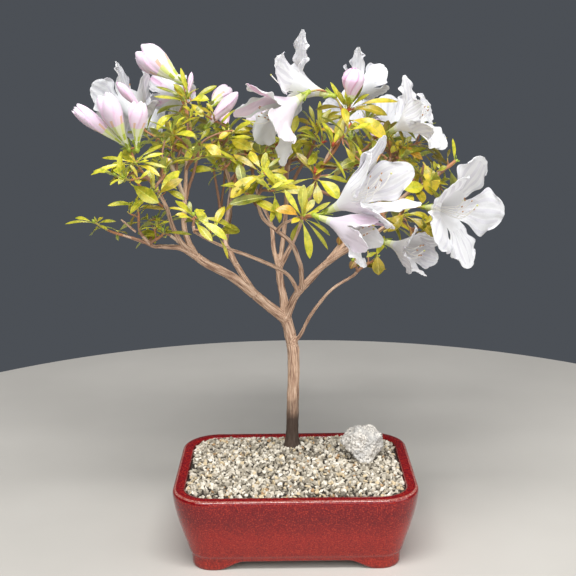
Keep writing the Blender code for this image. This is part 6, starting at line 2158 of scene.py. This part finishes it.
grain_frames = []
line_tree = KDTree(sum(len(route) for route, _ in wood_parts))
travelled = 0.0
for route, radii in wood_parts:
    frames = carried_frames(route)
    for i, point in enumerate(route):
        travelled += (route[i] - route[i - 1]).length if i else LIMBS_APART
        line_tree.insert(point, len(grain_frames))
        grain_frames.append((np.array(point), frames[i], travelled, radii[i]))
line_tree.balance()

flat_coordinates = np.empty(len(melted.vertices) * 3, np.float32)
melted.vertices.foreach_get("co", flat_coordinates)
skin_points = flat_coordinates.reshape(-1, 3).astype(float)
local_points = (skin_points - np.array(POT_MIDDLE)) / MM
grain = np.zeros_like(local_points)
moved = skin_points.copy()
for index, point in enumerate(local_points):
    _, nearest, _ = line_tree.find(point)
    centre, axes, distance, radius = grain_frames[nearest]
    offset = point - centre
    grain[index] = (offset @ axes[1], offset @ axes[2], distance + offset @ axes[0])
    x, y, z = grain[index]
    across = Vector((x / FURROW, y / FURROW, z * FURROW_STRETCH / FURROW))
    thin = min(1.0, radius / SMOOTH_BELOW)
    furrow = noise.noise(across) + 0.6 * noise.noise(across * 2.3 + Vector((5, 1, 2)))
    flake = noise.noise(Vector((x / FLAKE, y / FLAKE, z / FLAKE / 3)))
    push = (FURROW_DEPTH * furrow + FLAKE_DEPTH * flake) * thin
    outward = offset - axes[0] * (offset @ axes[0])
    moved[index] += outward / (np.linalg.norm(outward) + 1e-6) * push * MM
melted.vertices.foreach_set("co", moved.astype(np.float32).ravel())
attribute = melted.attributes.new("grain", "FLOAT_VECTOR", "POINT")
attribute.data.foreach_set("vector", grain.astype(np.float32).ravel())
melted.shade_smooth()
melted.update()
print("bark moved by up to", round(np.abs(moved - skin_points).max() / MM, 2), "mm")

# %% [markdown]
# ## Azalea bark
# Azalea bark is thin and comes away in strings: pinkish tan, with paler fresh strips and brown
# furrows. At the trunk's foot, where watering keeps it damp, it is nearly black. The grain coordinates
# are in millimetres, so the strings come out about 1 mm wide and 14 mm long.

# %% Bark finish
DAMP_TOP = 121.0
DAMP_DRIFT = 8.33

bark, tree, shader = finish("stringy_azalea_bark", Roughness=0.85)
fibre = add(tree, "ShaderNodeAttribute", attribute_name="grain")
stretch = add(tree, "ShaderNodeMapping", {"Vector": fibre.outputs["Vector"], "Scale": (0.9, 0.9, 0.07)})
strings = add(tree, "ShaderNodeTexNoise", {"Vector": stretch.outputs["Vector"], "Scale": 1.0, "Detail": 5.0,
                                           "Roughness": 0.65})
tones = add(tree, "ShaderNodeValToRGB", {"Fac": strings.outputs["Fac"]},
            stops=((0.3, "#5F4436"), (0.68, "#E3C9B0"), (0.42, "#9C7A64"), (0.52, "#C6A48A")))
place = add(tree, "ShaderNodeTexCoord").outputs["Object"]
height = add(tree, "ShaderNodeSeparateXYZ", {0: place})
wander = add(tree, "ShaderNodeTexNoise", {"Vector": place, "Scale": scale_of(DAMP_DRIFT), "Detail": 4.0})
wet = add(tree, "ShaderNodeMath", {0: wander.outputs["Fac"], 1: 22 * MM, 2: height.outputs["Z"]},
          operation="MULTIPLY_ADD")
damp_share = add(tree, "ShaderNodeMapRange", {"Value": wet.outputs[0], "From Min": (DAMP_TOP - 16) * MM,
                                              "From Max": (DAMP_TOP + 4) * MM, "To Min": 0.92, "To Max": 0.0})
colour = add(tree, "ShaderNodeMix", {"Factor": damp_share.outputs["Result"], 6: tones.outputs["Color"],
                                     7: linear("#2E221C")}, data_type="RGBA")
tree.links.new(colour.outputs[2], shader.inputs["Base Color"])
relief = add(tree, "ShaderNodeBump", {"Strength": 0.6, "Distance": 0.4 * MM,
                                      "Height": strings.outputs["Fac"]})
tree.links.new(relief.outputs["Normal"], shader.inputs["Normal"])
melted.materials.append(bark)
print("bark nodes", len(tree.nodes))
dress(wood, "bark", "trunk", *[limb.name for limb in BOUGHS])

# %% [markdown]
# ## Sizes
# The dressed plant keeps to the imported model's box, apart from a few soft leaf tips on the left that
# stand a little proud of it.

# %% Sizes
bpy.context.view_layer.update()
